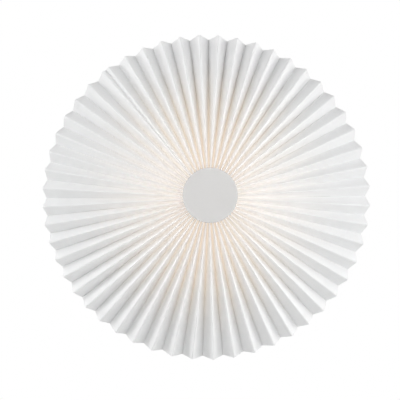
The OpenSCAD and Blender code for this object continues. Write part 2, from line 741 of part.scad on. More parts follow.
module holder_nipples() {
    start = ear_reach + holder_base - 0.5 - nipple_l;
    color("silver") for (side = [-1, 1]) on_lamp(side) ring_solid(rod_r, rod_bore / 2, start, start + nipple_l);
}

module holder_nuts() {
    thickness = 3.5;
    color("silver") for (side = [-1, 1]) on_lamp(side) hex_nut(ear_reach - bracket_t - thickness, thickness);
}

module holder_body(side) {
    waist_r = holder_d / 2 - 1.2;
    color("white") on_lamp(side) difference() {
        union() {
            ring_solid(holder_d / 2, 0.1, ear_reach, ear_reach + 9);
            ring_solid(waist_r, 0.1, ear_reach + 8, holder_end);
            ring_solid(holder_d / 2, 0.1, mouth_at - 1, holder_end);
        }
        translate([0, 0, ear_reach - cut]) cylinder(r = rod_r + snug, h = holder_l);
        translate([0, 0, ear_reach + holder_base]) cylinder(r = sleeve_r + 2, h = sleeve_base - ear_reach - holder_base);
        translate([0, 0, ear_reach + holder_base]) cylinder(r = sleeve_r + sleeve_t + snug, h = holder_l);
        translate([0, 0, mouth_at]) cylinder(r = mouth_r, h = mouth_l + cut);
    }
}

module holder_sleeve(side) {
    color("goldenrod") on_lamp(side) ring_solid(sleeve_r + sleeve_t, sleeve_r, sleeve_base + snug, mouth_at);
}

// Sprung brass strip under the bulb's tip, bent up in the middle
module holder_contact(side) {
    w = 5;
    half = 7;
    path = [[-half, 0], [-4, 0], [-1.5, contact_h - contact_t], [2, contact_h - contact_t],
        [2, contact_h], [-1.9, contact_h], [-4.3, contact_t], [-half, contact_t]];
    color("goldenrod") on_lamp(side) translate([0, w / 2, contact_at]) rotate([90, 0, 0])
        linear_extrude(w) polygon(path);
}

module bulb_contact(side) {
    color("silver") on_lamp(side) rotate_extrude() polygon(concat([[0, bulb_tip + button_h], [0, bulb_tip]],
        [for (a = [10:20:90]) [button_r * sin(a), bulb_tip + button_h * (1 - cos(a))]]));
}

module bulb_insulator(side) {
    base = bulb_tip + button_h;
    color("dimgray") on_lamp(side) rotate_extrude()
        polygon([[0, base], [button_r + 0.6, base], [base_r - shell_t - snug, shell_base],
            [base_r - shell_t - snug, shell_base + 1.2], [0, shell_base + 1.2]]);
}

module bulb_shell(side) {
    color("silver") on_lamp(side) ring_solid(base_r, base_r - shell_t, shell_base, shell_end);
}

// White housing that flares from the screw shell to the dome
module bulb_housing(side) {
    wall = 1.6;
    color("white") on_lamp(side) rotate_extrude() polygon([[base_r + snug, collar_at], [collar_r, collar_at],
        [neck_r, neck_at], [dome_base_r, dome_at], [dome_base_r - wall, dome_at],
        [neck_r - wall, neck_at + 1], [base_r - shell_t, neck_at], [base_r - shell_t, shell_end + snug],
        [base_r + snug, shell_end + snug]]);
}

module bulb_dome(side) {
    color("lightyellow") on_lamp(side) rotate_extrude() difference() {
        translate([0, bulb_centre]) circle(r = bulb_r);
        translate([0, bulb_centre]) circle(r = bulb_r - dome_t);
        translate([-2 * bulb_r, bulb_centre - 2 * bulb_r]) square([2 * bulb_r, 4 * bulb_r]);
        translate([0, bulb_centre - 2 * bulb_r]) square([2 * bulb_r, dome_at + snug - bulb_centre + 2 * bulb_r]);
    }
}

back_plate();
cable_grommet();
terminal_block();
terminal_sleeves();
terminal_screws();
block_screws();
earth_screw();
earth_washer();
earth_lug();
earth_wire();
live_wires();
neutral_wires();
holder_bracket();
holder_body(1);  // upper_holder_body
holder_sleeve(1);  // upper_holder_sleeve
holder_contact(1);  // upper_holder_contact
holder_body(-1);  // lower_holder_body
holder_sleeve(-1);  // lower_holder_sleeve
holder_contact(-1);  // lower_holder_contact
holder_nipples();
holder_nuts();
centre_rod();
rod_nuts();
rod_washers();
carrier_plate();
carrier_arms();
carrier_ring();
pleated_shade();
seam_tape();
hub_core();
hub_ring();
cap_washer();
cap();
cap_insert();
bulb_contact(1);  // upper_bulb_contact
bulb_insulator(1);  // upper_bulb_insulator
bulb_shell(1);  // upper_bulb_shell
bulb_housing(1);  // upper_bulb_housing
bulb_dome(1);  // upper_bulb_dome
bulb_contact(-1);  // lower_bulb_contact
bulb_insulator(-1);  // lower_bulb_insulator
bulb_shell(-1);  // lower_bulb_shell
bulb_housing(-1);  // lower_bulb_housing
bulb_dome(-1);  // lower_bulb_dome
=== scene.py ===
"""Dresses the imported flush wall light: a pleated cone shade held at its middle by a flat round cap.

Every mesh is in metres in the frame of the CAD model. The light hangs on a wall at y = 0, faces -Y,
and +Z is up. The pieces that show are modelled again in full, and the other CAD pieces keep their
shape and get a finish of their own.
"""

import sys
import logging
import math
from contextlib import contextmanager
from dataclasses import dataclass, field, replace
from enum import Enum
from typing import Callable, Iterator, Sequence

import bmesh
import bpy
from mathutils import Matrix, Vector


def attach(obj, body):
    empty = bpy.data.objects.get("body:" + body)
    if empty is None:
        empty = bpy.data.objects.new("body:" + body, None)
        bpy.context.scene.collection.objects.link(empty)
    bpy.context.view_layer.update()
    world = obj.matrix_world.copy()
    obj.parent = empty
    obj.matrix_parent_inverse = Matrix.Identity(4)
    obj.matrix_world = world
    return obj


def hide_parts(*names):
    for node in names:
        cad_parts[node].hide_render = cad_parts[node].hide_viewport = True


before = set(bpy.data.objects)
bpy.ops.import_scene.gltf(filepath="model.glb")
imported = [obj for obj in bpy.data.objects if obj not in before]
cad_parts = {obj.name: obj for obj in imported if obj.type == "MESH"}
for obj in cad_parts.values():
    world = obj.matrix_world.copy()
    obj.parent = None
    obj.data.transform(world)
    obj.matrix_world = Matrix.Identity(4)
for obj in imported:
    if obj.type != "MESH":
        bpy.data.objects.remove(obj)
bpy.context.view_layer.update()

log = logging.getLogger("wall_light")
MM = 0.001
LAMP_LINE = 37 * MM
Colour = tuple[float, float, float]
Point = tuple[float, float, float]
WHITE = (1.0, 1.0, 1.0, 1.0)


class Side(Enum):
    """The two lamps of the light, with the turn that brings a piece of the upper one to each."""

    UPPER = 0
    LOWER = 180


class Way(Enum):
    """The line that a turned piece is turned round."""

    OUT_FROM_WALL = "y"
    ALONG_LAMPS = "z"


# Working by hand, in code


def rest() -> None:
    """Leaves edit mode and lets go of every object."""
    if bpy.context.object and bpy.context.object.mode != "OBJECT":
        bpy.ops.object.mode_set(mode="OBJECT")
    bpy.ops.object.select_all(action="DESELECT")


def take(*pieces: bpy.types.Object) -> None:
    """Selects pieces and nothing else, with the first one active.

    Args:
        *pieces: The pieces to select.
    """
    rest()
    for piece in pieces:
        piece.select_set(True)
    bpy.context.view_layer.objects.active = pieces[0]


@contextmanager
def editing(piece: bpy.types.Object) -> Iterator[None]:
    """Opens one piece in edit mode with nothing selected, and closes it again.

    Args:
        piece: The mesh to edit.
    """
    take(piece)
    bpy.ops.object.mode_set(mode="EDIT")
    bpy.ops.mesh.select_mode(type="VERT")
    bpy.ops.mesh.select_all(action="DESELECT")
    yield
    rest()


def pick_points(piece: bpy.types.Object, test: Callable[[Vector], bool]) -> None:
    """Selects the points of the open piece that pass a test, and nothing else.

    Args:
        piece: The mesh in edit mode.
        test: Says of a point's place whether it is wanted.
    """
    bpy.ops.mesh.select_mode(type="VERT")
    mesh = bmesh.from_edit_mesh(piece.data)
    for point in mesh.verts:
        point.select = test(point.co)
    mesh.select_flush_mode()
    bmesh.update_edit_mesh(piece.data)


def picked_places(piece: bpy.types.Object) -> list[Vector]:
    """Gives the places of the selected points of the open piece."""
    mesh = bmesh.from_edit_mesh(piece.data)
    return [point.co.copy() for point in mesh.verts if point.select]


def pick_faces(piece: bpy.types.Object, test: Callable[[bmesh.types.BMFace], bool]) -> None:
    """Selects the faces of the open piece that pass a test, and nothing else.

    Args:
        piece: The mesh in edit mode.
        test: Says of a face whether it is wanted.
    """
    bpy.ops.mesh.select_mode(type="FACE")
    mesh = bmesh.from_edit_mesh(piece.data)
    for face in mesh.faces:
        face.select = test(face)
    mesh.select_flush_mode()
    bmesh.update_edit_mesh(piece.data)


def pick_all() -> None:
    """Selects all of the open piece."""
    bpy.ops.mesh.select_all(action="SELECT")


def merge_doubles(within: float) -> None:
    """Merges doubled points of the whole open piece, and turns its faces outwards.

    Args:
        within: How near each other two points are merged.
    """
    pick_all()
    bpy.ops.mesh.remove_doubles(threshold=within)
    bpy.ops.mesh.normals_make_consistent(inside=False)


def finish_with(piece: bpy.types.Object, kind: str, **settings: object) -> None:
    """Adds a modifier to a piece and applies it.

    Args:
        piece: The mesh to change.
        kind: Blender's name for the modifier.
        **settings: The modifier's settings.
    """
    take(piece)
    modifier = piece.modifiers.new(kind.lower(), kind)
    for name, value in settings.items():
        setattr(modifier, name, value)
    bpy.ops.object.modifier_apply(modifier=modifier.name)
    rest()


def settle(*pieces: bpy.types.Object) -> None:
    """Puts the place, turn and size of pieces into their meshes.

    Args:
        *pieces: The pieces to settle.
    """
    take(*pieces)
    bpy.ops.object.transform_apply(location=True, rotation=True, scale=True)
    rest()


def smooth(piece: bpy.types.Object, angle: float) -> None:
    """Shades a piece smooth, but keeps its sharper edges.

    Args:
        piece: The piece to shade.
        angle: Angle in degrees from which an edge stays sharp.
    """
    take(piece)
    bpy.ops.object.shade_smooth_by_angle(angle=math.radians(angle))
    rest()


def copy_of(piece: bpy.types.Object, name: str) -> bpy.types.Object:
    """Copies a piece with a mesh of its own.

    Args:
        piece: The piece to copy.
        name: Name of the copy.

    Returns:
        The copy, linked to the scene.
    """
    copy = piece.copy()
    copy.data = piece.data.copy()
    copy.name = name
    bpy.context.scene.collection.objects.link(copy)
    return copy


def joined(pieces: Sequence[bpy.types.Object], name: str) -> bpy.types.Object:
    """Joins pieces into the first one.

    Args:
        pieces: The pieces to join.
        name: Name of the joined piece.

    Returns:
        The joined piece.
    """
    take(*pieces)
    bpy.ops.object.join()
    pieces[0].name = name
    rest()
    return pieces[0]


def traced(name: str, places: Sequence[Vector]) -> bpy.types.Object:
    """Draws a line of edges.

    Args:
        name: Name of the piece.
        places: The places that the line goes through.

    Returns:
        The piece, which has edges only.
    """
    rest()
    bpy.ops.mesh.primitive_plane_add(size=MM)
    line = bpy.context.active_object
    line.name = name
    with editing(line):
        pick_all()
        bpy.ops.mesh.merge(type="CENTER")
        bpy.ops.transform.translate(value=places[0])
        for before, place in zip(places, places[1:]):
            bpy.ops.mesh.extrude_region_move(TRANSFORM_OT_translate={"value": place - before})
    return line


def turned(name: str, outline: Sequence[tuple[float, float]], way: Way, sides: int,
           height: float = 0.0) -> bpy.types.Object:
    """Turns an outline round a line, as on a lathe.

    Args:
        name: Name of the piece.
        outline: Points as (radius, distance along the line), in metres. Where it ends on its first
            point, the piece is a ring.
        way: The line to turn round.
        sides: Number of sides of the turned piece.
        height: How far the lamps' line is from the wall.

    Returns:
        The closed piece with its faces outwards.
    """
    if way is Way.OUT_FROM_WALL:
        places = [Vector((r, -along, 0.0)) for r, along in outline]
        centre, axis = (0.0, 0.0, 0.0), (0.0, 1.0, 0.0)
    else:
        places = [Vector((r, -height, along)) for r, along in outline]
        centre, axis = (0.0, -height, 0.0), (0.0, 0.0, 1.0)
    piece = traced(name, places)
    with editing(piece):
        pick_all()
        bpy.ops.mesh.spin(steps=sides, angle=2 * math.pi, center=centre, axis=axis)
        merge_doubles(0.002 * MM)
    return piece


def rounded(outline: Sequence[tuple[float, float]], corners: dict[int, float],
            steps: int = 4) -> list[tuple[float, float]]:
    """Rounds corners of an outline.

    Args:
        outline: Points as (radius, distance).
        corners: How much is cut from both sides of a corner, by the corner's place in the outline.
        steps: Number of pieces of each rounding.

    Returns:
        The outline with its corners rounded.
    """
    result = []
    for i, point in enumerate(outline):
        if i not in corners:
            result.append(tuple(point))
            continue
        here = Vector(point)
        before, after = Vector(outline[i - 1]), Vector(outline[(i + 1) % len(outline)])
        start = here + (before - here).normalized() * corners[i]
        end = here + (after - here).normalized() * corners[i]
        for step in range(steps + 1):
            t = step / steps
            result.append(tuple((1 - t) ** 2 * start + 2 * t * (1 - t) * here + t ** 2 * end))
    return result


# Finishes


class Nodes:
    """The nodes of a material or of the surroundings, added and linked in one call each."""

    def __init__(self, owner: bpy.types.Material | bpy.types.World) -> None:
        """Starts with no nodes.

        Args:
            owner: The material or the surroundings that get the nodes.
        """
        owner.use_nodes = True
        self.tree = owner.node_tree
        self.tree.nodes.clear()

    def add(self, kind: str, inputs: dict[object, object] | None = None,
            **settings: object) -> bpy.types.Node:
        """Adds a node.

        Args:
            kind: Blender's name for the node.
            inputs: A value, or a node or socket to link, by the input's name or number.
            **settings: The node's settings.

        Returns:
            The node.
        """
        node = self.tree.nodes.new(kind)
        for name, value in settings.items():
            setattr(node, name, value)
        for name, value in (inputs or {}).items():
            self.join(value, node, name)
        return node

    def join(self, value: object, node: bpy.types.Node, name: object) -> None:
        """Links a node or socket to an input, or sets the input to a value.

        Args:
            value: The value, node or socket.
            node: The node that has the input.
            name: The input's name or number.
        """
        if isinstance(value, bpy.types.Node):
            value = next(socket for socket in value.outputs if socket.enabled)
        if isinstance(value, bpy.types.NodeSocket):
            self.tree.links.new(value, node.inputs[name])
        else:
            node.inputs[name].default_value = value

    def math(self, operation: str, *values: object) -> bpy.types.Node:
        """Adds a sum on numbers or sockets."""
        return self.add("ShaderNodeMath", dict(enumerate(values)), operation=operation)


class Graph(Nodes):
    """A material's nodes, with the patterns that the finishes are made of."""

    def __init__(self, name: str) -> None:
        """Starts a material with a shader and an output.

        Args:
            name: Name of the material.
        """
        self.material = bpy.data.materials.new(name)
        super().__init__(self.material)
        self.output = self.add("ShaderNodeOutputMaterial")
        self.shader = self.add("ShaderNodeBsdfPrincipled")
        self.join(self.shader, self.output, "Surface")

    def shade(self, inputs: dict[str, object]) -> None:
        """Sets or links inputs of the shader.

        Args:
            inputs: A value, or a node or socket to link, by the input's name.
        """
        for name, value in inputs.items():
            self.join(value, self.shader, name)

    def place(self) -> bpy.types.NodeSocket:
        """Gives the place of a point in the piece's own coordinates."""
        return self.add("ShaderNodeTexCoord").outputs["Object"]

    def parts(self) -> bpy.types.NodeOutputs:
        """Gives the same place as three sockets, X, Y and Z."""
        return self.add("ShaderNodeSeparateXYZ", {"Vector": self.place()}).outputs

    def noise(self, size: float, detail: float = 3.0, roughness: float = 0.5,
              at: object = None, stretch: Point = (1.0, 1.0, 1.0)) -> bpy.types.Node:
        """Adds a noise.

        Args:
            size: Size of its patches in metres.
            detail: Number of finer layers.
            roughness: Strength of the finer layers.
            at: The coordinates to read, or the piece's own.
            stretch: How many times finer it is along each axis.

        Returns:
            The node, whose first output is the noise from 0 to 1.
        """
        spread = self.add("ShaderNodeMapping", {"Vector": at or self.place(), "Scale": stretch})
        return self.add("ShaderNodeTexNoise", {
            "Vector": spread, "Scale": 1.0 / size, "Detail": detail, "Roughness": roughness})

    def span(self, value: object, low: float, high: float, start: float = 0.3,
             end: float = 0.7) -> bpy.types.Node:
        """Brings a value from one range to another, and holds it there."""
        return self.add("ShaderNodeMapRange", {
            "Value": value, "From Min": start, "From Max": end, "To Min": low, "To Max": high})

    def fade(self, value: object, start: float, end: float) -> bpy.types.Node:
        """Falls gently from 1 at the start of a range to 0 at its end.

        Args:
            value: The node or socket to read.
            start: The value that gives 1.
            end: The value that gives 0.

        Returns:
            The node that holds the result.
        """
        return self.add("ShaderNodeMapRange", {
            "Value": value, "From Min": start, "From Max": end, "To Min": 1.0, "To Max": 0.0},
            interpolation_type="SMOOTHSTEP")

    def mix(self, share: object, first: object, second: object, kind: str = "MIX") -> bpy.types.NodeSocket:
        """Mixes two colours.

        Args:
            share: Share of the second colour, from 0 to 1.
            first: The first colour, or the node or socket that holds it.
            second: The second one.
            kind: Blender's name for the way of mixing.

        Returns:
            The socket that holds the mixed colour.
        """
        node = self.add("ShaderNodeMix", data_type="RGBA", blend_type=kind)
        self.join(share, node, 0)
        for place, colour in ((6, first), (7, second)):
            self.join((*colour, 1.0) if isinstance(colour, tuple) else colour, node, place)
        return node.outputs[2]

    def bump(self, height: object, depth: float, under: object = None) -> bpy.types.Node:
        """Raises the surface.

        Args:
            height: The node that holds the height, from 0 to 1.
            depth: How high a height of 1 is, in metres.
            under: The node that holds the normal of a coarser relief below this one.

        Returns:
            The node that holds the normal.
        """
        inputs = {"Height": height, "Distance": depth, "Strength": 1.0}
        if under is not None:
            inputs["Normal"] = under
        return self.add("ShaderNodeBump", inputs)


@dataclass(frozen=True)
class Finish:
    """A mottled surface of two close tones with a grain and a sheen of its own."""

    slot: str
    light: Colour
    dark: Colour
    patch: float = 25 * MM
    grain: float = 0.6 * MM
    relief: float = 0.02 * MM
    sheen: tuple[float, float] = (0.4, 0.55)
    metal: float = 0.0
    coat: float = 0.0
    soft: float = 0.0
    specks: float = 0.35

    def colour(self, graph: Graph) -> bpy.types.NodeSocket:
        """Gives the surface's colour.

        Args:
            graph: The material's nodes.

        Returns:
            The socket that holds the colour.
        """
        mottle = graph.span(graph.noise(self.patch, 5.0, 0.6), 0.0, 1.0)
        speck = graph.span(graph.noise(self.grain * 2.5, 2.0), 0.0, self.specks)
        return graph.mix(graph.math("MULTIPLY_ADD", mottle, 1 - self.specks, speck), self.light, self.dark)

    def relief_nodes(self, graph: Graph) -> bpy.types.Node:
        """Gives the surface's fine relief.

        Args:
            graph: The material's nodes.

        Returns:
            The node that holds the normal.
        """
        return graph.bump(graph.noise(self.grain, 2.0), self.relief)

    def wear(self, graph: Graph) -> bpy.types.Node:
        """Gives the surface's roughness, which handling has made uneven."""
        return graph.span(graph.noise(self.patch * 0.4, 4.0, 0.65), *self.sheen)

    def shade(self, graph: Graph) -> None:
        """Sets up the shader.

        Args:
            graph: The material's nodes.
        """
        graph.shade({
            "Base Color": self.colour(graph), "Roughness": self.wear(graph),
            "Normal": self.relief_nodes(graph), "Metallic": self.metal,
            "Coat Weight": self.coat, "Coat Roughness": 0.15, "Subsurface Weight": self.soft,
            "Subsurface Radius": (1.0, 0.8, 0.6), "Subsurface Scale": 1.0 * MM})

    def material(self) -> bpy.types.Material:
        """Makes the material.

        Returns:
            The material, with all its nodes.
        """
        graph = Graph(self.slot)
        self.shade(graph)
        return graph.material


@dataclass(frozen=True)
class PowderCoat(Finish):
    """A matt powder coat, with its soft orange peel and a few darker specks."""

    peel: float = 2.2 * MM
    peel_rise: float = 2.5

    def relief_nodes(self, graph: Graph) -> bpy.types.Node:
        """Gives the orange peel with the fine grain of the powder on it.

        Args:
            graph: The material's nodes.

        Returns:
            The node that holds the normal.
        """
        peel = graph.bump(graph.noise(self.peel, 1.0), self.relief * self.peel_rise)
        return graph.bump(graph.noise(self.grain, 2.0), self.relief, under=peel)


@dataclass(frozen=True)
class Threaded(Finish):
    """Plated metal with a fine thread cut round one line."""

    way: Way = Way.OUT_FROM_WALL
    pitch: float = 1.0 * MM
    height: float = 0.0
    depth: float = 0.35 * MM

    def relief_nodes(self, graph: Graph) -> bpy.types.Node:
        """Gives the thread's ridges.

        Args:
            graph: The material's nodes.

        Returns:
            The node that holds the normal.
        """
        parts = graph.parts()
        if self.way is Way.OUT_FROM_WALL:
            along, around = parts[1], graph.math("ARCTAN2", parts[2], parts[0])
        else:
            off = graph.math("ADD", parts[1], self.height)
            along, around = parts[2], graph.math("ARCTAN2", off, parts[0])
        turns = graph.math("DIVIDE", around, 2 * math.pi)
        ridge = graph.math("PINGPONG", graph.math("MULTIPLY_ADD", along, 1.0 / self.pitch, turns), 0.5)
        return graph.bump(graph.math("MULTIPLY", ridge, 2.0), self.depth)


@dataclass(frozen=True)
class Striped(Finish):
    """The insulation of an earth wire: green, with a yellow stripe that winds along it."""

    stripe: Colour = (0.75, 0.62, 0.03)
    per_metre: float = 420.0
    edge: tuple[float, float] = (0.27, 0.33)

    def colour(self, graph: Graph) -> bpy.types.NodeSocket:
        """Gives green with a yellow stripe.

        Args:
            graph: The material's nodes.

        Returns:
            The socket that holds the colour.
        """
        parts = graph.parts()
        wound = graph.math("MULTIPLY", graph.math("ADD", parts[1], parts[0]), self.per_metre)
        wound = graph.math("PINGPONG", wound, 0.5)
        return graph.mix(graph.span(wound, 0.0, 1.0, *self.edge), super().colour(graph), self.stripe)


@dataclass(frozen=True)
class Fibrous(Finish):
    """Tape and pressed card, with crossed fibres in the surface."""

    fibre: float = 1.4 * MM

    def relief_nodes(self, graph: Graph) -> bpy.types.Node:
        """Gives fibres that lie in two directions.

        Args:
            graph: The material's nodes.

        Returns:
            The node that holds the normal.
        """
        first = graph.noise(self.fibre, 3.0, 0.7, stretch=(1.0, 7.0, 1.0))
        second = graph.noise(self.fibre, 3.0, 0.7, stretch=(6.0, 1.0, 6.0))
        return graph.bump(graph.math("ADD", first, second), self.relief)


@dataclass(frozen=True)
class LitOpal(Finish):
    """An opal dome that is lit from inside."""

    glow: Colour = (1.0, 0.78, 0.52)
    power: float = 1.8

    def shade(self, graph: Graph) -> None:
        """Sets up the shader, with its own light.

        Args:
            graph: The material's nodes.
        """
        super().shade(graph)
        graph.shade({"Emission Color": (*self.glow, 1.0), "Emission Strength": self.power})


@dataclass(frozen=True)
class PleatedSheet(Finish):
    """The white laminate of the shade: crossed fibres, light that passes through, a painted glow for the two
    lamps behind it, a painted warm tint of their light in the valleys near them, and painted shade in the
    valleys further out."""

    slope: float = 27.0
    middle: tuple[float, float] = (196.917 * MM, 24.051 * MM)
    half_fold: float = 8.0 * MM
    pleat: tuple[float, float] = (36 * MM, 194 * MM)
    fibre: float = 1.1 * MM
    waves: tuple[float, float] = (9 * MM, 0.04 * MM)
    through: float = 0.04
    # Painted lamp light: the sheet itself glows, though it is no lamp, most near the hub and in the valleys.
    glow: Colour = (1.0, 0.83, 0.68)
    painted_glow_power: float = 0.107
    painted_valley_glow: Colour = (1.0, 0.96, 0.93)
    painted_valley_power: float = 0.10
    painted_glow_reach: tuple[float, float] = (30 * MM, 185 * MM)
    # Painted warm lamp light in the valleys above and below the middle.
    painted_warm_light: Colour = (1.0, 0.935, 0.84)
    painted_warm_reach: tuple[float, float] = (98 * MM, 184 * MM)
    painted_warm_fall: float = 2.0
    # Painted shade in the valleys above and below the middle, past the lamps' warm reach.
    painted_crease_shade: Colour = (0.74, 0.735, 0.73)
    painted_crease_fall: float = 8.0
    upright_fall: float = 1.5

    def relief_nodes(self, graph: Graph) -> bpy.types.Node:
        """Gives the laminate's fibres, over a soft unevenness of the sheet.

        Args:
            graph: The material's nodes.

        Returns:
            The node that holds the normal.
        """
        at = graph.add("ShaderNodeUVMap", uv_map="UVMap").outputs[0]
        size = graph.add("ShaderNodeMapping", {"Vector": at, "Scale": (*self.pleat, 1.0)})
        along = graph.noise(self.fibre, 3.0, 0.7, at=size, stretch=(1.0, 8.0, 1.0))
        across = graph.noise(self.fibre, 3.0, 0.7, at=size, stretch=(8.0, 1.0, 1.0))
        soft = graph.bump(graph.noise(self.waves[0], 2.0), self.waves[1])
        return graph.bump(graph.math("ADD", along, across), self.relief, under=soft)

    def _valley(self, graph: Graph, parts: bpy.types.NodeOutputs, radius: bpy.types.Node) -> bpy.types.Node:
        """Tells how deep in a valley a point lies, from how far it stands out of the cone's middle.

        Args:
            graph: The material's nodes.
            parts: The point's place.
            radius: Its distance from the middle of the light.

        Returns:
            The node that holds 0 on a ridge and 1 in a valley.
        """
        turn = math.radians(self.slope)
        out = graph.math("MULTIPLY_ADD", radius, math.sin(turn), -self.middle[0] * math.sin(turn))
        up = graph.math("MULTIPLY_ADD", parts[1], -math.cos(turn), -self.middle[1] * math.cos(turn))
        level = graph.span(graph.math("ADD", out, up), 0.0, 1.0, -self.half_fold, self.half_fold)
        return graph.math("SUBTRACT", 1.0, level)

    def shade(self, graph: Graph) -> None:
        """Sets up the shader, the light that passes through the sheet, and a painted glow that stands for
        the lamps behind it.

        Args:
            graph: The material's nodes.
        """
        colour = self.colour(graph)
        normal = self.relief_nodes(graph)
        parts = graph.parts()
        high = graph.math("POWER", parts[2], 2.0)
        radius = graph.math("SQRT", graph.math("MULTIPLY_ADD", parts[0], parts[0], high))
        valley = self._valley(graph, parts, radius)
        # Painted lamp light: the lamps stand above and below the middle, so the valleys there get a painted
        # warm tint near them and painted shade further out.
        upright = graph.math("POWER", graph.math("DIVIDE", high, graph.math("POWER", radius, 2.0)),
                             self.upright_fall)
        reached = graph.fade(radius, *self.painted_warm_reach)
        painted_warm_mask = graph.math("MULTIPLY", graph.math("MULTIPLY", upright, reached),
                            graph.math("POWER", valley, self.painted_warm_fall))
        # Painted shade: valleys above and below, outside the lamps' reach, are darkened in the sheet's
        # colour.
        outside = graph.math("MULTIPLY", upright, graph.math("SUBTRACT", 1.0, reached))
        painted_shade_mask = graph.math("MULTIPLY", outside, graph.math("POWER", valley, self.painted_crease_fall))
        # Painted warm lamp light, multiplied into the sheet's colour.
        colour = graph.mix(painted_warm_mask, colour, self.painted_warm_light, "MULTIPLY")
        colour = graph.mix(painted_shade_mask, colour, self.painted_crease_shade, "MULTIPLY")
        # Painted lamp light: emission on the sheet, fading out from the hub and stronger in the valleys.
        shown = graph.math("MULTIPLY_ADD", valley, self.painted_valley_power, self.painted_glow_power)
        share = graph.math("MULTIPLY", valley, self.painted_valley_power / (self.painted_valley_power + self.painted_glow_power))
        graph.shade({
            "Base Color": colour, "Roughness": self.wear(graph), "Normal": normal,
            "Emission Color": graph.mix(share, self.glow, self.painted_valley_glow),
            "Emission Strength": graph.math("MULTIPLY", graph.fade(radius, *self.painted_glow_reach), shown),
            "Sheen Weight": 0.05, "Specular IOR Level": 0.3})
        passing = graph.add("ShaderNodeBsdfTranslucent", {"Color": colour, "Normal": normal})
        both = graph.add("ShaderNodeMixShader", {0: self.through, 1: graph.shader, 2: passing})
        graph.join(both, graph.output, "Surface")
        graph.material.cycles.emission_sampling = "NONE"


SHEET = PleatedSheet("pleated_sheet", (0.895, 0.898, 0.90), (0.865, 0.868, 0.87), 18 * MM, 0.8 * MM,
                     0.02 * MM, (0.62, 0.8))
CAP_COAT = PowderCoat("painted_cap", (0.716, 0.707, 0.698), (0.682, 0.673, 0.663), 30 * MM, 0.35 * MM,
                      0.02 * MM, (0.55, 0.7))
PLATE_COAT = PowderCoat("painted_plate", (0.84, 0.84, 0.83), (0.79, 0.79, 0.775), 40 * MM, 0.4 * MM,
                        0.025 * MM, (0.42, 0.55))
WIRE_COAT = PowderCoat("painted_wire", (0.82, 0.82, 0.81), (0.77, 0.765, 0.75), 20 * MM, 0.4 * MM,
                       0.02 * MM, (0.4, 0.52))
ZINC = Finish("zinc_steel", (0.72, 0.73, 0.75), (0.56, 0.57, 0.58), 9 * MM, 0.3 * MM, 0.01 * MM,
              (0.26, 0.46), metal=1.0)
ZINC_THREAD = Threaded("zinc_steel", (0.72, 0.73, 0.75), (0.52, 0.53, 0.54), 9 * MM, 0.3 * MM,
                       0.01 * MM, (0.28, 0.45), metal=1.0)
LAMP_THREAD = replace(ZINC_THREAD, way=Way.ALONG_LAMPS, height=LAMP_LINE)
NICKEL = Finish("nickel_shell", (0.74, 0.72, 0.68), (0.60, 0.58, 0.54), 6 * MM, 0.25 * MM, 0.008 * MM,
                (0.2, 0.38), metal=1.0)
BRASS = Finish("brass", (0.78, 0.60, 0.28), (0.58, 0.42, 0.18), 7 * MM, 0.3 * MM, 0.01 * MM,
               (0.24, 0.44), metal=1.0)
SLEEVE_BRASS = Threaded("brass", (0.78, 0.60, 0.28), (0.58, 0.42, 0.18), 7 * MM, 0.3 * MM, 0.01 * MM,
                        (0.24, 0.44), metal=1.0, way=Way.ALONG_LAMPS, pitch=2.82 * MM,
                        height=LAMP_LINE, depth=0.6 * MM)
HUB = Finish("hub_plastic", (0.88, 0.87, 0.84), (0.83, 0.82, 0.785), 22 * MM, 0.5 * MM, 0.015 * MM,
             (0.38, 0.52), soft=0.1)
TERMINAL = Finish("terminal_plastic", (0.89, 0.89, 0.87), (0.82, 0.82, 0.79), 8 * MM, 0.4 * MM,
                  0.02 * MM, (0.42, 0.58), soft=0.1)
HOLDER = Finish("holder_plastic", (0.89, 0.88, 0.85), (0.83, 0.82, 0.78), 14 * MM, 0.7 * MM,
                0.008 * MM, (0.2, 0.34), coat=0.2)
BULB_BODY = Finish("bulb_plastic", (0.90, 0.90, 0.885), (0.85, 0.85, 0.83), 16 * MM, 0.7 * MM,
                   0.006 * MM, (0.22, 0.34), coat=0.15)
BLACK = Finish("black_insulator", (0.035, 0.035, 0.036), (0.02, 0.02, 0.02), 5 * MM, 0.4 * MM,
               0.01 * MM, (0.15, 0.3))
RUBBER = Finish("grommet_rubber", (0.055, 0.055, 0.056), (0.035, 0.035, 0.035), 6 * MM, 0.3 * MM,
                0.03 * MM, (0.6, 0.8))
TAPE = Fibrous("tape", (0.90, 0.885, 0.84), (0.87, 0.85, 0.79), 9 * MM, 0.5 * MM, 0.04 * MM, (0.3, 0.5))
FIBRE = Fibrous("fibre", (0.42, 0.17, 0.12), (0.30, 0.11, 0.075), 5 * MM, 0.4 * MM, 0.05 * MM, (0.5, 0.7))
WIRE_SKIN = (6 * MM, 0.3 * MM, 0.008 * MM, (0.32, 0.45))
LIVE = Finish("live_insulation", (0.27, 0.13, 0.06), (0.20, 0.09, 0.04), *WIRE_SKIN)
NEUTRAL = Finish("neutral_insulation", (0.06, 0.20, 0.55), (0.045, 0.15, 0.44), *WIRE_SKIN)
EARTH = Striped("earth_insulation", (0.10, 0.38, 0.08), (0.07, 0.30, 0.06), *WIRE_SKIN)
OPAL = LitOpal("opal_dome", (0.95, 0.92, 0.86), (0.92, 0.88, 0.80), 15 * MM, 0.6 * MM, 0.006 * MM,
               (0.3, 0.42))

MADE: dict[Finish, bpy.types.Material] = {}


def dress(piece: bpy.types.Object, finish: Finish) -> None:
    """Gives a piece one finish all over, made once and shared.

    Args:
        piece: The piece to dress.
        finish: Its finish.
    """
    if finish not in MADE:
        MADE[finish] = finish.material()
    if len(piece.material_slots) == 0:
        piece.data.materials.append(MADE[finish])
    for place in piece.material_slots:
        place.material = MADE[finish]


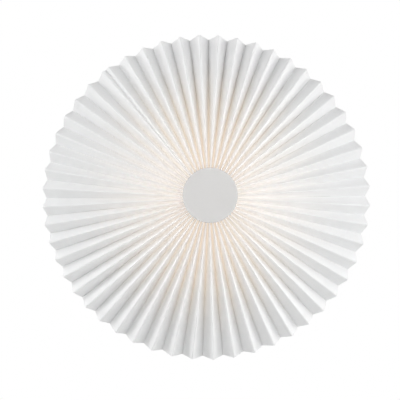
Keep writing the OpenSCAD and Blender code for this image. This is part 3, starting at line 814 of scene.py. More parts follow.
def fit(piece: bpy.types.Object, finish: Finish, body: str, *nodes: str) -> bpy.types.Object:
    """Dresses a new piece and lets it ride in place of CAD nodes.

    Args:
        piece: The piece, in place.
        finish: Its finish, which also names its material slot.
        body: The body that it rides on.
        *nodes: The CAD nodes that it stands for.

    Returns:
        The same piece.
    """
    dress(piece, finish)
    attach(piece, body)
    if nodes:
        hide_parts(*nodes)
    return piece


# The shade


@dataclass
class PleatedShade:
    """The pleated cone: 51 whole pleats, and a seam where the two ends of the sheet are turned in."""

    pleats: int = 52
    panel_w: float = 18 * MM
    hub_r: float = 23.997 * MM
    rim_r: float = 196.917 * MM
    rim_h: float = 24.051 * MM
    slope: float = 27.0
    seam_at: float = 127.8
    seam_gap: float = 2.5
    drift: tuple[tuple[float, int, float], ...] = ((1.6, 1, -174.0), (1.05, 2, 54.0), (0.5, 3, -41.0))
    aim_off: float = 3.7 * MM
    aim_at: float = 240.0
    oval: float = 0.0045
    lean: float = 0.0022
    lean_at: float = 30.0
    notch: float = 0.45
    notch_rise: float = 0.16
    fin_end: float = -0.55
    sheet_t: float = 0.5 * MM
    tape_t: float = 0.3 * MM
    rows: int = 24
    columns: int = 8
    ridge_round: float = 1.8 * MM
    valley_round: float = 0.15 * MM
    fold_angle: float = 30.0
    ridge_level: float = 0.45
    pressed: float = 0.45
    uneven: float = 0.05 * MM
    ripple: float = 30 * MM

    @property
    def half_pitch(self) -> float:
        """Angle from a ridge to the next valley, in degrees."""
        return (360.0 - self.seam_gap) / (2 * self.pleats)

    def depth(self, r: float) -> float:
        """Distance from ridge to valley, square to the cone, where the sheet's radius is r."""
        return math.sqrt(self.panel_w ** 2 - (2 * r * math.sin(math.radians(self.half_pitch / 2))) ** 2)

    def ridge(self, k: int) -> float:
        """Gives the place of a ridge.

        Args:
            k: Its number, counted anticlockwise from the seam.

        Returns:
            Its angle, anticlockwise from the right, in degrees.
        """
        a = 2 * k * self.half_pitch
        return self.seam_at + self.seam_gap / 2 + a + sum(
            size * math.sin(math.radians(times * a + phase)) for size, times, phase in self.drift)

    def _share(self, k: int) -> float:
        """Width of the gap after a ridge, as a share of an even one."""
        return (self.ridge(k + 1) - self.ridge(k)) / (2 * self.half_pitch)

    def radius(self, row: int) -> float:
        """Radius of the sheet's middle in a row, from the hub outwards."""
        return self.hub_r + (self.rim_r - self.hub_r) * row / self.rows

    def _sheet_strip(self, name: str, columns: int) -> bpy.types.Object:
        """Adds a flat strip with a map of its own, which runs from the hub to the rim.

        Args:
            name: Name of the strip.
            columns: Number of columns across it.

        Returns:
            A grid one metre square in the plane z = 0, centred on the origin.
        """
        rest()
        bpy.ops.mesh.primitive_grid_add(x_subdivisions=columns, y_subdivisions=self.rows, size=1)
        strip = bpy.context.active_object
        strip.name = name
        return strip

    def _shape_rows(self, strip: bpy.types.Object, width: Callable[[float], float]) -> None:
        """Gives each row its width and depth, and lays the strip on the cone at the top.

        Args:
            strip: The folded strip, one metre wide and deep.
            width: Gives the width of a row from the sheet's radius there.
        """
        length = (self.rim_r - self.hub_r) / math.cos(math.radians(self.slope))
        with editing(strip):
            for row in range(self.rows + 1):
                y = row / self.rows - 0.5
                pick_points(strip, lambda co: abs(co.y - y) < 0.2 / self.rows)
                r = self.radius(row)
                bpy.ops.transform.resize(value=(width(r), 1.0, self.depth(r)),
                                         center_override=(0.0, y, 0.0))
            pick_all()
            bpy.ops.transform.resize(value=(1.0, length, 1.0), center_override=(0.0, -0.5, 0.0))
        strip.location = (0.0, 0.5, 0.0)
        settle(strip)
        # From the flat, y runs outwards and z to the front. On the light these are z and -y, less the slope.
        turn = math.radians(self.slope)
        hub_h = self.rim_h + (self.rim_r - self.hub_r) * math.tan(turn)
        out = Vector((0.0, math.sin(turn), math.cos(turn)))
        front = Vector((0.0, -math.cos(turn), math.sin(turn)))
        across = Vector((1.0, 0.0, 0.0))
        strip.matrix_world = Matrix.Translation((0.0, -hub_h, self.hub_r)) @ Matrix(
            (across, out, front)).transposed().to_4x4()
        settle(strip)

    def _pleat(self) -> bpy.types.Object:
        """Models one pleat, from valley over ridge to valley.

        Returns:
            The pleat, in place at the top of the shade.
        """
        pleat = self._sheet_strip("pleat", self.columns)
        half = self.columns // 2
        with editing(pleat):
            for column in range(half + 1):
                x = column / self.columns
                pick_points(pleat, lambda co: abs(abs(co.x) - x) < 0.2 / self.columns)
                bpy.ops.transform.translate(value=(0.0, 0.0, 0.5 - column / half))
        turn = math.radians(self.slope)
        open_to = math.tan(math.radians(self.half_pitch))
        self._shape_rows(pleat, lambda r: 2 * open_to * (r - self.depth(r) / 2 * math.sin(turn)))
        return pleat

    def _seam_fin(self) -> bpy.types.Object:
        """Models the end of the sheet beside the seam: from the first ridge to a notch and inwards.

        Returns:
            The fin, with the seam's first ridge at the top of the shade.
        """
        fin = self._sheet_strip("seam_fin", 2)
        with editing(fin):
            for x, level, shift in ((-0.5, 1.0, 0.5), (0.0, self.notch, 1.0), (0.5, self.fin_end, 0.5)):
                pick_points(fin, lambda co: abs(co.x - x) < 0.1 and abs(co.z) < 1e-6)
                bpy.ops.transform.translate(value=(shift, 0.0, level / 2))
            for row in range(self.rows):
                y = row / self.rows - 0.5
                pick_points(fin, lambda co: co.x > 0.9 and co.z > 0 and abs(co.y - y) < 0.2 / self.rows)
                bpy.ops.transform.translate(value=(0.0, 0.0, self.notch_rise * (1 - row / self.rows)))
        aside = (self.tape_t + self.sheet_t) / 2
        beside = math.tan(math.radians(self.ridge(0) - self._seam_angle()))
        self._shape_rows(fin, lambda r: r * beside - aside)
        with editing(fin):
            # Over the tape's edge, the two ends of the sheet are pressed together.
            pick_points(fin, lambda co: 0 < self._level(co) < self.ridge_level)
            bpy.ops.transform.translate(value=(aside - self.pressed * self.sheet_t, 0.0, 0.0))
        return fin

    def _level(self, point: Vector) -> float:
        """Tells how high a point is over the folds' middle.

        Args:
            point: The point's place.

        Returns:
            Its height as a share of the folds' depth: 0.5 is on a ridge.
        """
        turn = math.radians(self.slope)
        out = math.hypot(point.x, point.z)
        level = (out - self.rim_r) * math.sin(turn) - (point.y + self.rim_h) * math.cos(turn)
        return level / self.depth(out - level * math.sin(turn))

    def _seam_angle(self) -> float:
        """Angle of the seam's middle, in degrees."""
        return (self.ridge(0) + self.ridge(self.pleats) - 360.0) / 2

    def _turned_to(self, piece: bpy.types.Object, angle: float, stretch: float) -> bpy.types.Object:
        """Copies a piece from the top of the shade to its place.

        Args:
            piece: The piece to copy.
            angle: Angle of the place, in degrees.
            stretch: How many times wider the copy is.

        Returns:
            The copy.
        """
        copy = copy_of(piece, f"{piece.name}_{angle:.1f}")
        copy.scale.x = stretch
        copy.rotation_euler.y = math.radians(90.0 - angle)
        return copy

    def _half(self, pleat: bpy.types.Object, keep: int) -> bpy.types.Object:
        """Copies the half of a pleat on one side of its ridge.

        Args:
            pleat: The whole pleat.
            keep: 1 keeps the right half, and -1 the left one.

        Returns:
            The half.
        """
        half = copy_of(pleat, "half_pleat")
        with editing(half):
            pick_faces(half, lambda face: face.calc_center_median().x * keep < 0)
            bpy.ops.mesh.delete(type="FACE")
        return half

    def sheet(self) -> bpy.types.Object:
        """Builds the whole folded sheet with its thickness.

        Returns:
            The shade, closed and in place.
        """
        pleat, fin, last = self._pleat(), self._seam_fin(), self.pleats
        left, right = self._half(pleat, -1), self._half(pleat, 1)
        parts = [self._turned_to(pleat, self.ridge(k), (self._share(k - 1) + self._share(k)) / 2)
                 for k in range(1, last)]
        parts += [self._turned_to(left, self.ridge(0), self._share(0)),
                  self._turned_to(right, self.ridge(last), self._share(last - 1)),
                  self._turned_to(fin, self.ridge(0), 1.0), self._turned_to(fin, self.ridge(last), -1.0)]
        for spare in (pleat, fin, left, right):
            bpy.data.objects.remove(spare)
        settle(*parts)
        shade = joined(parts, "pleated_shade_cloth")
        with editing(shade):
            merge_doubles(0.12 * MM)
        self._round_folds(shade, True, self.ridge_round, 5)
        self._round_folds(shade, False, self.valley_round, 1)
        self._aim(shade)
        self._face_front(shade)
        ripple = bpy.data.textures.new("sheet_ripple", "CLOUDS")
        ripple.noise_scale = self.ripple
        finish_with(shade, "DISPLACE", texture=ripple, texture_coords="LOCAL", strength=self.uneven,
                    mid_level=0.5)
        finish_with(shade, "SOLIDIFY", thickness=self.sheet_t, offset=0.0, use_quality_normals=True)
        return shade

    def _round_folds(self, shade: bpy.types.Object, ridges: bool, size: float, steps: int) -> None:
        """Rounds the folds on one side of the cone's middle.

        Args:
            shade: The folded sheet, whose folds are sharp.
            ridges: Whether the ridges are meant, and not the valleys.
            size: How much is cut from both sides of a fold.
            steps: Number of pieces of the rounding.
        """
        with editing(shade):
            bpy.ops.mesh.select_mode(type="EDGE")
            bpy.ops.mesh.edges_select_sharp(sharpness=math.radians(self.fold_angle))
            mesh = bmesh.from_edit_mesh(shade.data)
            for edge in mesh.edges:
                level = self._level((edge.verts[0].co + edge.verts[1].co) / 2)
                edge.select = edge.select and (level > self.ridge_level if ridges else level < 0.0)
            bmesh.update_edit_mesh(shade.data)
            bpy.ops.mesh.bevel(offset=size, segments=steps, affect="EDGES")

    def _aim(self, shade: bpy.types.Object) -> None:
        """Turns each point round the light, so that the folds stay straight but aim beside the middle.

        Args:
            shade: The folded sheet, whose folds aim at the middle.
        """
        turn = math.radians(self.slope)
        apex = self.rim_h + self.rim_r * math.tan(turn)
        with editing(shade):
            mesh = bmesh.from_edit_mesh(shade.data)
            for point in mesh.verts:
                x, y, z = point.co
                out = math.hypot(x, z) * math.cos(turn) + y * math.sin(turn)
                r = (out + apex * math.sin(turn)) * math.cos(turn)
                beside = self.aim_off * math.sin(math.radians(self.aim_at) - math.atan2(z, x))
                point.co = Matrix.Rotation(-beside * (1 / r - 1 / self.rim_r), 3, "Y") @ point.co
                # The real shade is a little wider than high, and reaches a little further on one side.
                around = math.atan2(z, x)
                leaning = self.lean * math.cos(around - math.radians(self.lean_at))
                stretch = 1 + self.oval * math.cos(2 * around) + leaning
                point.co.x *= stretch
                point.co.z *= stretch
            bmesh.update_edit_mesh(shade.data)

    @staticmethod
    def _face_front(shade: bpy.types.Object) -> None:
        """Turns all faces round where the sheet as a whole looks towards the wall.

        Args:
            shade: The sheet, before it gets its thickness.
        """
        front = sum(face.normal.y * face.area for face in shade.data.polygons)
        if front > 0:
            with editing(shade):
                pick_all()
                bpy.ops.mesh.flip_normals()

    def build(self) -> list[bpy.types.Object]:
        """Builds and dresses the shade.

        Returns:
            The pieces made.
        """
        shade = self.sheet()
        smooth(shade, 28.0)
        fit(shade, SHEET, "shade", "pleated_shade")
        return [shade]


# The cap


@dataclass
class Cap:
    """The flat round cap in the middle, with its skirt and the boss for the insert."""

    radius: float = 33.5 * MM
    wall: float = 1.4 * MM
    base: float = 118.398 * MM
    ceiling: float = 123.545 * MM
    face: float = 126.045 * MM
    dome: float = 0.6 * MM
    edge: float = 1.3 * MM
    boss_r: float = 11 * MM
    insert_r: float = 8.05 * MM
    insert_base: float = 114.545 * MM

    def outline(self) -> list[tuple[float, float]]:
        """Gives the cap's section, from the middle of its face round to the middle of its ceiling.

        Returns:
            Points as (radius, distance from the wall).
        """
        rise = [(self.radius * 0.97 * t, self.face + self.dome * (1 - t * t))
                for t in (0, 0.2, 0.4, 0.6, 0.8, 0.9)]
        skirt = rounded([(self.radius * 0.9, self.face + self.dome * 0.1), (self.radius, self.face),
                         (self.radius, self.base), (self.radius - self.wall, self.base),
                         (self.radius - self.wall, self.ceiling), (self.boss_r, self.ceiling),
                         (self.boss_r, self.insert_base), (self.insert_r, self.insert_base),
                         (self.insert_r, self.ceiling), (0.0, self.ceiling)],
                        {1: self.edge, 2: 0.3 * MM, 3: 0.3 * MM, 4: 0.6 * MM, 5: 0.8 * MM, 6: 0.4 * MM}, 5)
        return rise + skirt[1:]

    def build(self) -> list[bpy.types.Object]:
        """Builds and dresses the cap.

        Returns:
            The pieces made.
        """
        cap = turned("cap_cover", self.outline(), Way.OUT_FROM_WALL, 128)
        smooth(cap, 50.0)
        return [fit(cap, CAP_COAT, "cap", "cap")]


# The lamps


@dataclass
class Lamp:
    """One bulb with its screw shell, housing and dome, and the lampholder that takes it."""

    side: Side
    line_h: float = LAMP_LINE
    base_r: float = 6.95 * MM
    shell: tuple[float, float] = (28.5 * MM, 45.0 * MM)
    shell_ends: tuple[float, float] = (1.2 * MM, 2.4 * MM)
    pitch: float = 2.82 * MM
    root: float = 0.45 * MM
    shell_t: float = 0.35 * MM
    collar: tuple[float, float] = (8.45 * MM, 43.0 * MM)
    neck: tuple[float, float] = (9.25 * MM, 47.0 * MM)
    housing_t: float = 1.6 * MM
    dome_r: float = 22.5 * MM
    dome_t: float = 1.2 * MM
    dome_middle: float = 79.7 * MM
    dome_at: float = 68.9 * MM
    dome_steps: int = 18
    holder_r: float = 13.5 * MM
    holder: tuple[float, float] = (15.5 * MM, 45.5 * MM)
    holder_hole: float = 5.05 * MM
    holder_bore: float = 7.75 * MM
    grips: int = 24
    grip_rise: float = 0.4 * MM
    slack: float = 0.05 * MM

    def _to_side(self, piece: bpy.types.Object) -> bpy.types.Object:
        """Turns a piece of the upper lamp half round the light's middle for the lower one.

        Args:
            piece: The piece, in the upper lamp's place.

        Returns:
            The piece, in this lamp's place.
        """
        if self.side is Side.LOWER:
            piece.rotation_euler.y = math.radians(self.side.value)
            settle(piece)
        return piece

    def _name(self, what: str) -> str:
        """Names a piece of this lamp."""
        return f"{self.side.name.lower()}_{what}"

    def screw_shell(self) -> bpy.types.Object:
        """Models the shell with its rolled thread, and a plain ring at each end.

        Returns:
            The shell, in place.
        """
        steps = 10
        start = self.shell[0] + self.shell_ends[0]
        wave = [Vector((self.base_r - self.root * (0.5 - 0.5 * math.cos(2 * math.pi * i / steps)), 0.0,
                        start + self.pitch * (i / steps - 1))) for i in range(steps + 1)]
        shell = traced(self._name("screw_shell"), wave)
        turns = int((self.shell[1] - start) / self.pitch) + 2
        finish_with(shell, "SCREW", angle=2 * math.pi, screw_offset=self.pitch, iterations=turns, steps=48,
                    render_steps=48, use_merge_vertices=True, merge_threshold=0.002 * MM)
        top = self.shell[1] - self.shell_ends[1]
        with editing(shell):
            for at, outer in ((start, False), (top, True)):
                pick_all()
                bpy.ops.mesh.bisect(plane_co=(0.0, 0.0, at), plane_no=(0.0, 0.0, 1.0), clear_inner=not outer,
                                    clear_outer=outer, threshold=0.0001 * MM)
            for at, end in ((start, self.shell[0]), (top, self.shell[1])):
                lead = 0.35 * (end - at)
                pick_points(shell, lambda co: abs(co.z - at) < 0.01 * MM)
                bpy.ops.mesh.extrude_region_move(TRANSFORM_OT_translate={"value": (0.0, 0.0, lead)})
                bpy.ops.transform.tosphere(value=1.0, center_override=(0.0, 0.0, at + lead))
                reach = max(place.xy.length for place in picked_places(shell))
                grow = self.base_r / reach
                bpy.ops.transform.resize(value=(grow, grow, 1.0), center_override=(0.0, 0.0, at + lead))
                bpy.ops.mesh.extrude_region_move(TRANSFORM_OT_translate={
                    "value": (0.0, 0.0, end - at - lead)})
            merge_doubles(0.005 * MM)
        shell.location = (0.0, -self.line_h, 0.0)
        settle(shell)
        finish_with(shell, "SOLIDIFY", thickness=self.shell_t, offset=-1.0)
        smooth(shell, 60.0)
        return self._to_side(shell)

    def housing(self) -> bpy.types.Object:
        """Models the white housing that flares from the shell to the dome.

        Returns:
            The housing, in place.
        """
        rim_r = math.sqrt(self.dome_r ** 2 - (self.dome_middle - self.dome_at) ** 2)
        outline = rounded([
            (self.base_r + self.slack, self.collar[1]), (self.collar[0], self.collar[1]),
            self.neck, (rim_r, self.dome_at), (rim_r - self.housing_t, self.dome_at),
            (self.neck[0] - self.housing_t, self.neck[1] + 1 * MM), (self.base_r - 0.5 * MM, self.neck[1]),
            (self.base_r - 0.5 * MM, self.shell[1] + self.slack),
            (self.base_r + self.slack, self.shell[1] + self.slack)],
            {1: 0.6 * MM, 2: 1.6 * MM, 3: 0.5 * MM, 4: 0.3 * MM})
        housing = turned(self._name("housing"), outline + outline[:1], Way.ALONG_LAMPS, 72, self.line_h)
        smooth(housing, 50.0)
        return self._to_side(housing)

    @property
    def seat(self) -> float:
        """Distance of the dome's open end from the light's middle."""
        return self.dome_at + self.slack

    def _dome_arc(self, radius: float) -> list[tuple[float, float]]:
        """Gives the section of one face of the dome, from its seat to the tip.

        Args:
            radius: Radius of the face.

        Returns:
            Points as (radius, distance along the line).
        """
        low = math.asin((self.seat - self.dome_middle) / radius)
        angles = [low + (math.pi / 2 - low) * i / self.dome_steps for i in range(self.dome_steps)]
        face = [(radius * math.cos(a), self.dome_middle + radius * math.sin(a)) for a in angles]
        return face + [(0.0, self.dome_middle + radius)]

    def dome(self) -> bpy.types.Object:
        """Models the opal dome with its wall, from its seat on the housing to the tip.

        Returns:
            The dome, in place.
        """
        outer, inner = self._dome_arc(self.dome_r), self._dome_arc(self.dome_r - self.dome_t)
        # Turned in two parts, because the section meets the line twice.
        shells = [turned(self._name("dome"), part, Way.ALONG_LAMPS, 64, self.line_h)
                  for part in (outer, inner[::-1])]
        with editing(shells[1]):
            pick_all()
            bpy.ops.mesh.normals_make_consistent(inside=True)
        dome = joined(shells, self._name("dome"))
        with editing(dome):
            pick_points(dome, lambda co: abs(co.z - self.seat) < 0.01 * MM)
            bpy.ops.mesh.bridge_edge_loops()
        smooth(dome, 50.0)
        return self._to_side(dome)

    def holder_body(self) -> bpy.types.Object:
        """Models the lampholder's body, with ribs to grip round its back.

        Returns:
            The body, in place.
        """
        r, (low, high) = self.holder_r, self.holder
        back_r, waist, shoulder = r - self.grip_rise, r - 1.2 * MM, low + 9 * MM
        floor, mouth, mouth_r = low + 4 * MM, high - 4.5 * MM, r - 3 * MM
        outline = rounded([
            (self.holder_hole, low), (back_r, low), (back_r, shoulder), (waist, shoulder),
            (waist, mouth - 1 * MM), (r, mouth - 1 * MM), (r, high), (mouth_r, high), (mouth_r, mouth),
            (self.holder_bore, mouth), (self.holder_bore, floor), (self.holder_hole, floor)],
            {1: 0.8 * MM, 2: 0.4 * MM, 5: 0.4 * MM, 6: 0.9 * MM, 7: 0.5 * MM})
        body = turned(self._name("lampholder"), outline + outline[:1], Way.ALONG_LAMPS,
                      self.grips * 4, self.line_h)
        sector = 2 * math.pi / self.grips

        def on_grip(face: bmesh.types.BMFace) -> bool:
            """Says whether a face lies on one of the ribs to raise.

            Args:
                face: The face.

            Returns:
                Whether it does.
            """
            at = face.calc_center_median()
            turn = math.atan2(at.y + self.line_h, at.x) % sector / sector
            out = math.hypot(at.x, at.y + self.line_h)
            on_back = low + 0.9 * MM < at.z < shoulder - 0.6 * MM
            return out > r - 0.6 * MM and on_back and turn < 0.5

        with editing(body):
            pick_faces(body, on_grip)
            bpy.ops.mesh.extrude_region_shrink_fatten(TRANSFORM_OT_shrink_fatten={
                "value": self.grip_rise})
        smooth(body, 40.0)
        return self._to_side(body)

    def build(self) -> list[bpy.types.Object]:
        """Builds and dresses the lamp.

        Returns:
            The pieces made.
        """
        bulb = self._name("bulb")
        return [
            fit(self.screw_shell(), NICKEL, bulb, f"{bulb}_shell"),
            fit(self.housing(), BULB_BODY, bulb, f"{bulb}_housing"),
            fit(self.dome(), OPAL, bulb, f"{bulb}_dome"),
            fit(self.holder_body(), HOLDER, "base", self._name("holder_body")),
        ]


# The wiring


@dataclass
class Wiring:
    """The fixture wires as smooth round leads, and the rubber grommet of the cable entry."""

    lead_r: float = 1.0 * MM
    entry: tuple[float, float] = (9.96, 5.75)
    lamp: float = LAMP_LINE / MM
    from_middle: float = 15.5
    pole: Point = (23.95, 10.0, 19.3)
    pole_step: float = 1.1
    lug: Point = (22.57, 27.56, 14.3)
    plate: tuple[float, float] = (10.8 * MM, 12 * MM)
    inlet: Point = (44 * MM, 0.0, -32 * MM)
    lip: float = 1.5 * MM
    bore_r: float = 4 * MM
    hole_r: float = 5.95 * MM
    lip_r: float = 8 * MM

    def _lead(self, name: str, points: Sequence[Point]) -> bpy.types.Object:
        """Lays a round lead through points.

        Args:
            name: Name of the lead.
            points: Places as (right, up, out from the wall) in millimetres.

        Returns:
            The lead as a closed mesh.
        """
        rest()
        bpy.ops.curve.primitive_nurbs_path_add()
        lead = bpy.context.active_object
        lead.name = name
        curve = lead.data
        curve.splines.clear()
        line = curve.splines.new("BEZIER")
        line.bezier_points.add(len(points) - 1)
        for knot, (x, y, z) in zip(line.bezier_points, points):
            knot.co = Vector((x, -z, y)) * MM
            knot.handle_left_type = knot.handle_right_type = "AUTO"
        curve.dimensions = "3D"
        curve.resolution_u = curve.render_resolution_u = 8
        curve.bevel_depth = self.lead_r
        curve.bevel_resolution = 4
        curve.use_fill_caps = True
        take(lead)
        bpy.ops.object.convert(target="MESH")
        with editing(lead):
            merge_doubles(0.002 * MM)
        return lead

    def _near(self, side: int) -> list[Point]:
        """Gives the way of the wire that goes straight from a lampholder to its pole.

        Args:
            side: 1 for the upper lampholder, and -1 for the lower one.

        Returns:
            Places as (right, up, out from the wall) in millimetres.
        """
        x, z = self.entry
        return [(x, side * self.from_middle, self.lamp - z), (10.1, side * 12.8, self.lamp - 6.2),
                (12.0, side * 9.8, self.lamp - 9.5), (14.8, side * 9.2, self.lamp - 14.5),
                (18.2, side * 9.8, self.lamp - 18.4),
                (self.pole[0], side * self.pole[1], self.pole[2] - self.pole_step)]

    def _far(self, side: int, out: float) -> list[Point]:
        """Gives the way of the wire that crosses from a lampholder to the other pole.

        Args:
            side: 1 for the upper lampholder, and -1 for the lower one.
            out: How much further out it passes the middle, in millimetres.

        Returns:
            Places as (right, up, out from the wall) in millimetres.
        """
        x, z = self.entry
        return [(x, side * self.from_middle, self.lamp + z), (10.3, side * 12.4, self.lamp + 5.6),
                (12 + out / 2, side * 7, self.lamp + 3.4), (13.4 + out, side * 1.2, self.lamp - 3),
                (15 + out / 2, side * -5.2, self.lamp - 10.4), (18.6, side * -9.2, self.lamp - 15.6),
                (self.pole[0], side * -self.pole[1], self.pole[2] + self.pole_step)]

    def grommet(self) -> bpy.types.Object:
        """Models the rubber grommet with its rounded lips and the groove that the plate sits in.

        Returns:
            The grommet, in place.
        """
        back, front = self.plate
        outline = rounded([
            (self.bore_r, back - self.lip), (self.lip_r, back - self.lip), (self.lip_r, back),
            (self.hole_r, back), (self.hole_r, front), (self.lip_r, front),
            (self.lip_r, front + self.lip), (self.bore_r, front + self.lip)],
            {0: 0.5 * MM, 1: 0.6 * MM, 2: 0.5 * MM, 5: 0.5 * MM, 6: 0.7 * MM, 7: 0.7 * MM})
        grommet = turned("entry_grommet", outline + outline[:1], Way.OUT_FROM_WALL, 48)
        grommet.location = self.inlet
        settle(grommet)
        smooth(grommet, 50.0)
        return grommet

    def build(self) -> list[bpy.types.Object]:
        """Builds and dresses the wiring.

        Returns:
            The pieces made.
        """
        live = joined([self._lead("live_a", self._far(1, 0.0)), self._lead("live_b", self._near(-1))],
                      "live_leads")
        neutral = joined([self._lead("neutral_a", self._far(-1, 3.4)),
                          self._lead("neutral_b", self._near(1))], "neutral_leads")
        z = self.lug[2]
        earth = self._lead("earth_lead", [
            self.lug, (21.2, 25.8, z + 0.6), (18.2, 20.0, z + 0.9), (17.0, 12.0, z + 1.3),
            (17.2, 5.0, z + 2.3), (19.2, 0.8, self.pole[2] - 0.7), (self.pole[0], 0.0, self.pole[2])])
        for lead in (live, neutral, earth):
            smooth(lead, 60.0)
        return [fit(live, LIVE, "base", "live_wires"), fit(neutral, NEUTRAL, "base", "neutral_wires"),
                fit(earth, EARTH, "base", "earth_wire"),
                fit(self.grommet(), RUBBER, "base", "cable_grommet")]


# CAD pieces that keep their shape


@dataclass
class Fittings:
    """The CAD pieces whose shape is right, so that a finish is all they get."""

    finishes: dict[str, Finish] = field(default_factory=lambda: {
        "back_plate": PLATE_COAT, "terminal_block": TERMINAL, "terminal_sleeves": BRASS,
        "terminal_screws": ZINC, "block_screws": ZINC, "earth_screw": BRASS, "earth_washer": ZINC,
        "earth_lug": ZINC, "holder_bracket": ZINC, "upper_holder_sleeve": SLEEVE_BRASS,
        "lower_holder_sleeve": SLEEVE_BRASS, "upper_holder_contact": BRASS,
        "lower_holder_contact": BRASS, "holder_nipples": LAMP_THREAD, "holder_nuts": ZINC,
        "centre_rod": ZINC_THREAD, "rod_nuts": ZINC, "rod_washers": ZINC, "carrier_plate": WIRE_COAT,
        "carrier_arms": WIRE_COAT, "carrier_ring": WIRE_COAT, "seam_tape": TAPE, "hub_core": HUB,
        "hub_ring": HUB, "cap_washer": FIBRE, "cap_insert": BRASS, "upper_bulb_contact": NICKEL,
        "lower_bulb_contact": NICKEL, "upper_bulb_insulator": BLACK, "lower_bulb_insulator": BLACK})

    def build(self) -> list[bpy.types.Object]:
        """Dresses the pieces.

        Returns:
            The pieces dressed.
        """
        for name, finish in self.finishes.items():
            dress(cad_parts[name], finish)
        return [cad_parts[name] for name in self.finishes]


# The studio


@dataclass(frozen=True)
class Softbox:
    """A soft lamp: where it stands as seen from the light, how large it is and how strong."""

    name: str
    azimuth: float
    elevation: float
    power: float
    size: float = 1.0
    distance: float = 2.4


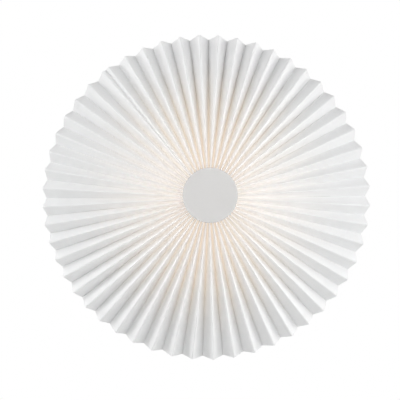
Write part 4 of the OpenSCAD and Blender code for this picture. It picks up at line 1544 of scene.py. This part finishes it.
@dataclass
class Studio:
    """Plain pale surroundings, soft lamps on both sides, and the camera of the photograph."""

    boxes: tuple[Softbox, ...] = (
        Softbox("right_edge", 80.0, 0.0, 19.4),
        Softbox("right_side", 50.0, 0.0, 10.9),
        Softbox("right_high", 60.0, 35.0, 9.0),
        Softbox("right_front_low", 30.0, -12.0, 2.0, 0.45),
        Softbox("left_edge", -80.0, 0.0, 17.5),
        Softbox("left_front", -25.0, 0.0, 6.9),
        Softbox("left_high", -60.0, 35.0, 16.3),
        Softbox("front", 0.0, 0.0, 4.15),
        Softbox("front_high", 0.0, 25.0, 3.15),
        Softbox("top_high", 0.0, 55.0, 4.25),
        Softbox("right_back", 135.0, 25.0, 16.0),
        Softbox("left_back", -135.0, 25.0, 16.0),
    )
    surround: float = 0.12
    lens: float = 600.0
    sensor: float = 36.0
    picture: int = 400
    rim_px: float = 163.5
    rim_r: float = 0.2
    rim_y: float = -0.0301
    aside: tuple[float, float] = (6.2, 2.5)
    azimuth: float = -2.95
    elevation: float = -1.65
    floor_z: float = -0.75
    floor_r: float = 1.6
    floor_lift: float = 0.45

    @staticmethod
    def _from(azimuth: float, elevation: float) -> Vector:
        """Gives the direction from the light to a place at an azimuth and elevation in degrees."""
        a, e = math.radians(azimuth), math.radians(elevation)
        return Vector((math.sin(a) * math.cos(e), -math.cos(a) * math.cos(e), math.sin(e)))

    def _lamps(self) -> None:
        """Sets up the soft lamps, which no picture shows."""
        for box in self.boxes:
            rest()
            place = self._from(box.azimuth, box.elevation) * box.distance
            bpy.ops.object.light_add(type="AREA", location=place)
            lamp = bpy.context.active_object
            lamp.name = box.name
            lamp.rotation_euler = place.to_track_quat("Z", "Y").to_euler()
            lamp.data.shape = "SQUARE"
            lamp.data.size = box.size
            lamp.data.energy = box.power
            lamp.visible_camera = False

    @staticmethod
    def _seen(nodes: Nodes) -> bpy.types.Node:
        """Gives 1 for rays that see the background straight, in a mirror or through glass.

        Args:
            nodes: The nodes of a material or of the surroundings.

        Returns:
            The node that holds it.
        """
        rays = nodes.add("ShaderNodeLightPath").outputs
        straight = nodes.math("MAXIMUM", rays["Is Camera Ray"], rays["Is Glossy Ray"])
        return nodes.math("MAXIMUM", straight, rays["Is Transmission Ray"])

    def _world(self) -> None:
        """Makes the surroundings white to look at, and softer as a light."""
        world = bpy.data.worlds.new("pale_studio")
        bpy.context.scene.world = world
        nodes = Nodes(world)
        soft, bright = (nodes.add("ShaderNodeBackground", {"Color": WHITE, "Strength": strength})
                        for strength in (self.surround, 1.0))
        mixed = nodes.add("ShaderNodeMixShader", {0: self._seen(nodes), 1: soft, 2: bright})
        nodes.add("ShaderNodeOutputWorld", {"Surface": mixed})

    def _floor(self) -> None:
        """Lays a pale floor that keeps the light's shadow and is clear from below."""
        rest()
        bpy.ops.mesh.primitive_circle_add(vertices=96, radius=self.floor_r, fill_type="NGON",
                                          location=(0.0, 0.0, self.floor_z))
        floor = bpy.context.active_object
        floor.name = "floor"
        graph = Graph("pale_floor")
        tone = graph.mix(graph.noise(0.4), (0.78, 0.78, 0.775), (0.82, 0.82, 0.815))
        plain = graph.add("ShaderNodeBsdfDiffuse", {"Color": tone})
        lift = graph.add("ShaderNodeEmission", {
            "Color": WHITE, "Strength": graph.math("MULTIPLY", self._seen(graph), self.floor_lift)})
        both = graph.add("ShaderNodeAddShader", {0: plain, 1: lift})
        clear = graph.add("ShaderNodeBsdfTransparent")
        under = graph.add("ShaderNodeNewGeometry").outputs["Backfacing"]
        graph.join(graph.add("ShaderNodeMixShader", {0: under, 1: both, 2: clear}), graph.output, "Surface")
        floor.data.materials.append(graph.material)

    def _camera(self) -> None:
        """Places the camera so that the rim and the cap fall where the photograph has them."""
        per_px = self.rim_r / self.rim_px
        away = per_px * self.picture * self.lens / self.sensor
        back = self._from(self.azimuth, self.elevation)
        right = Vector((0.0, 0.0, 1.0)).cross(back).normalized()
        up = back.cross(right)
        aim = Vector((0.0, self.rim_y, 0.0)) - right * self.aside[0] * per_px - up * self.aside[1] * per_px
        rest()
        bpy.ops.object.camera_add(location=aim + back * away)
        camera = bpy.context.active_object
        camera.name = "camera"
        camera.rotation_euler = back.to_track_quat("Z", "Y").to_euler()
        camera.data.lens = self.lens
        camera.data.sensor_width = self.sensor
        camera.data.clip_start, camera.data.clip_end = 0.1, 40.0
        bpy.context.scene.camera = camera

    def build(self) -> list[bpy.types.Object]:
        """Sets up lamps, surroundings, floor and camera.

        Returns:
            An empty list, because nothing here is part of the light.
        """
        self._lamps()
        self._world()
        self._floor()
        self._camera()
        bpy.context.scene.view_settings.view_transform = "Standard"
        return []


def main() -> None:
    """Builds the whole light in order, and reports each piece."""
    logging.basicConfig(level=logging.INFO, format="%(name)s: %(message)s", stream=sys.stdout)
    groups = [Studio(), PleatedShade(), Cap(), Lamp(Side.UPPER), Lamp(Side.LOWER), Wiring(), Fittings()]
    for group in groups:
        for piece in group.build():
            log.info("%s: %s, %d faces", type(group).__name__, piece.name, len(piece.data.polygons))


if __name__ == "__main__":
    main()
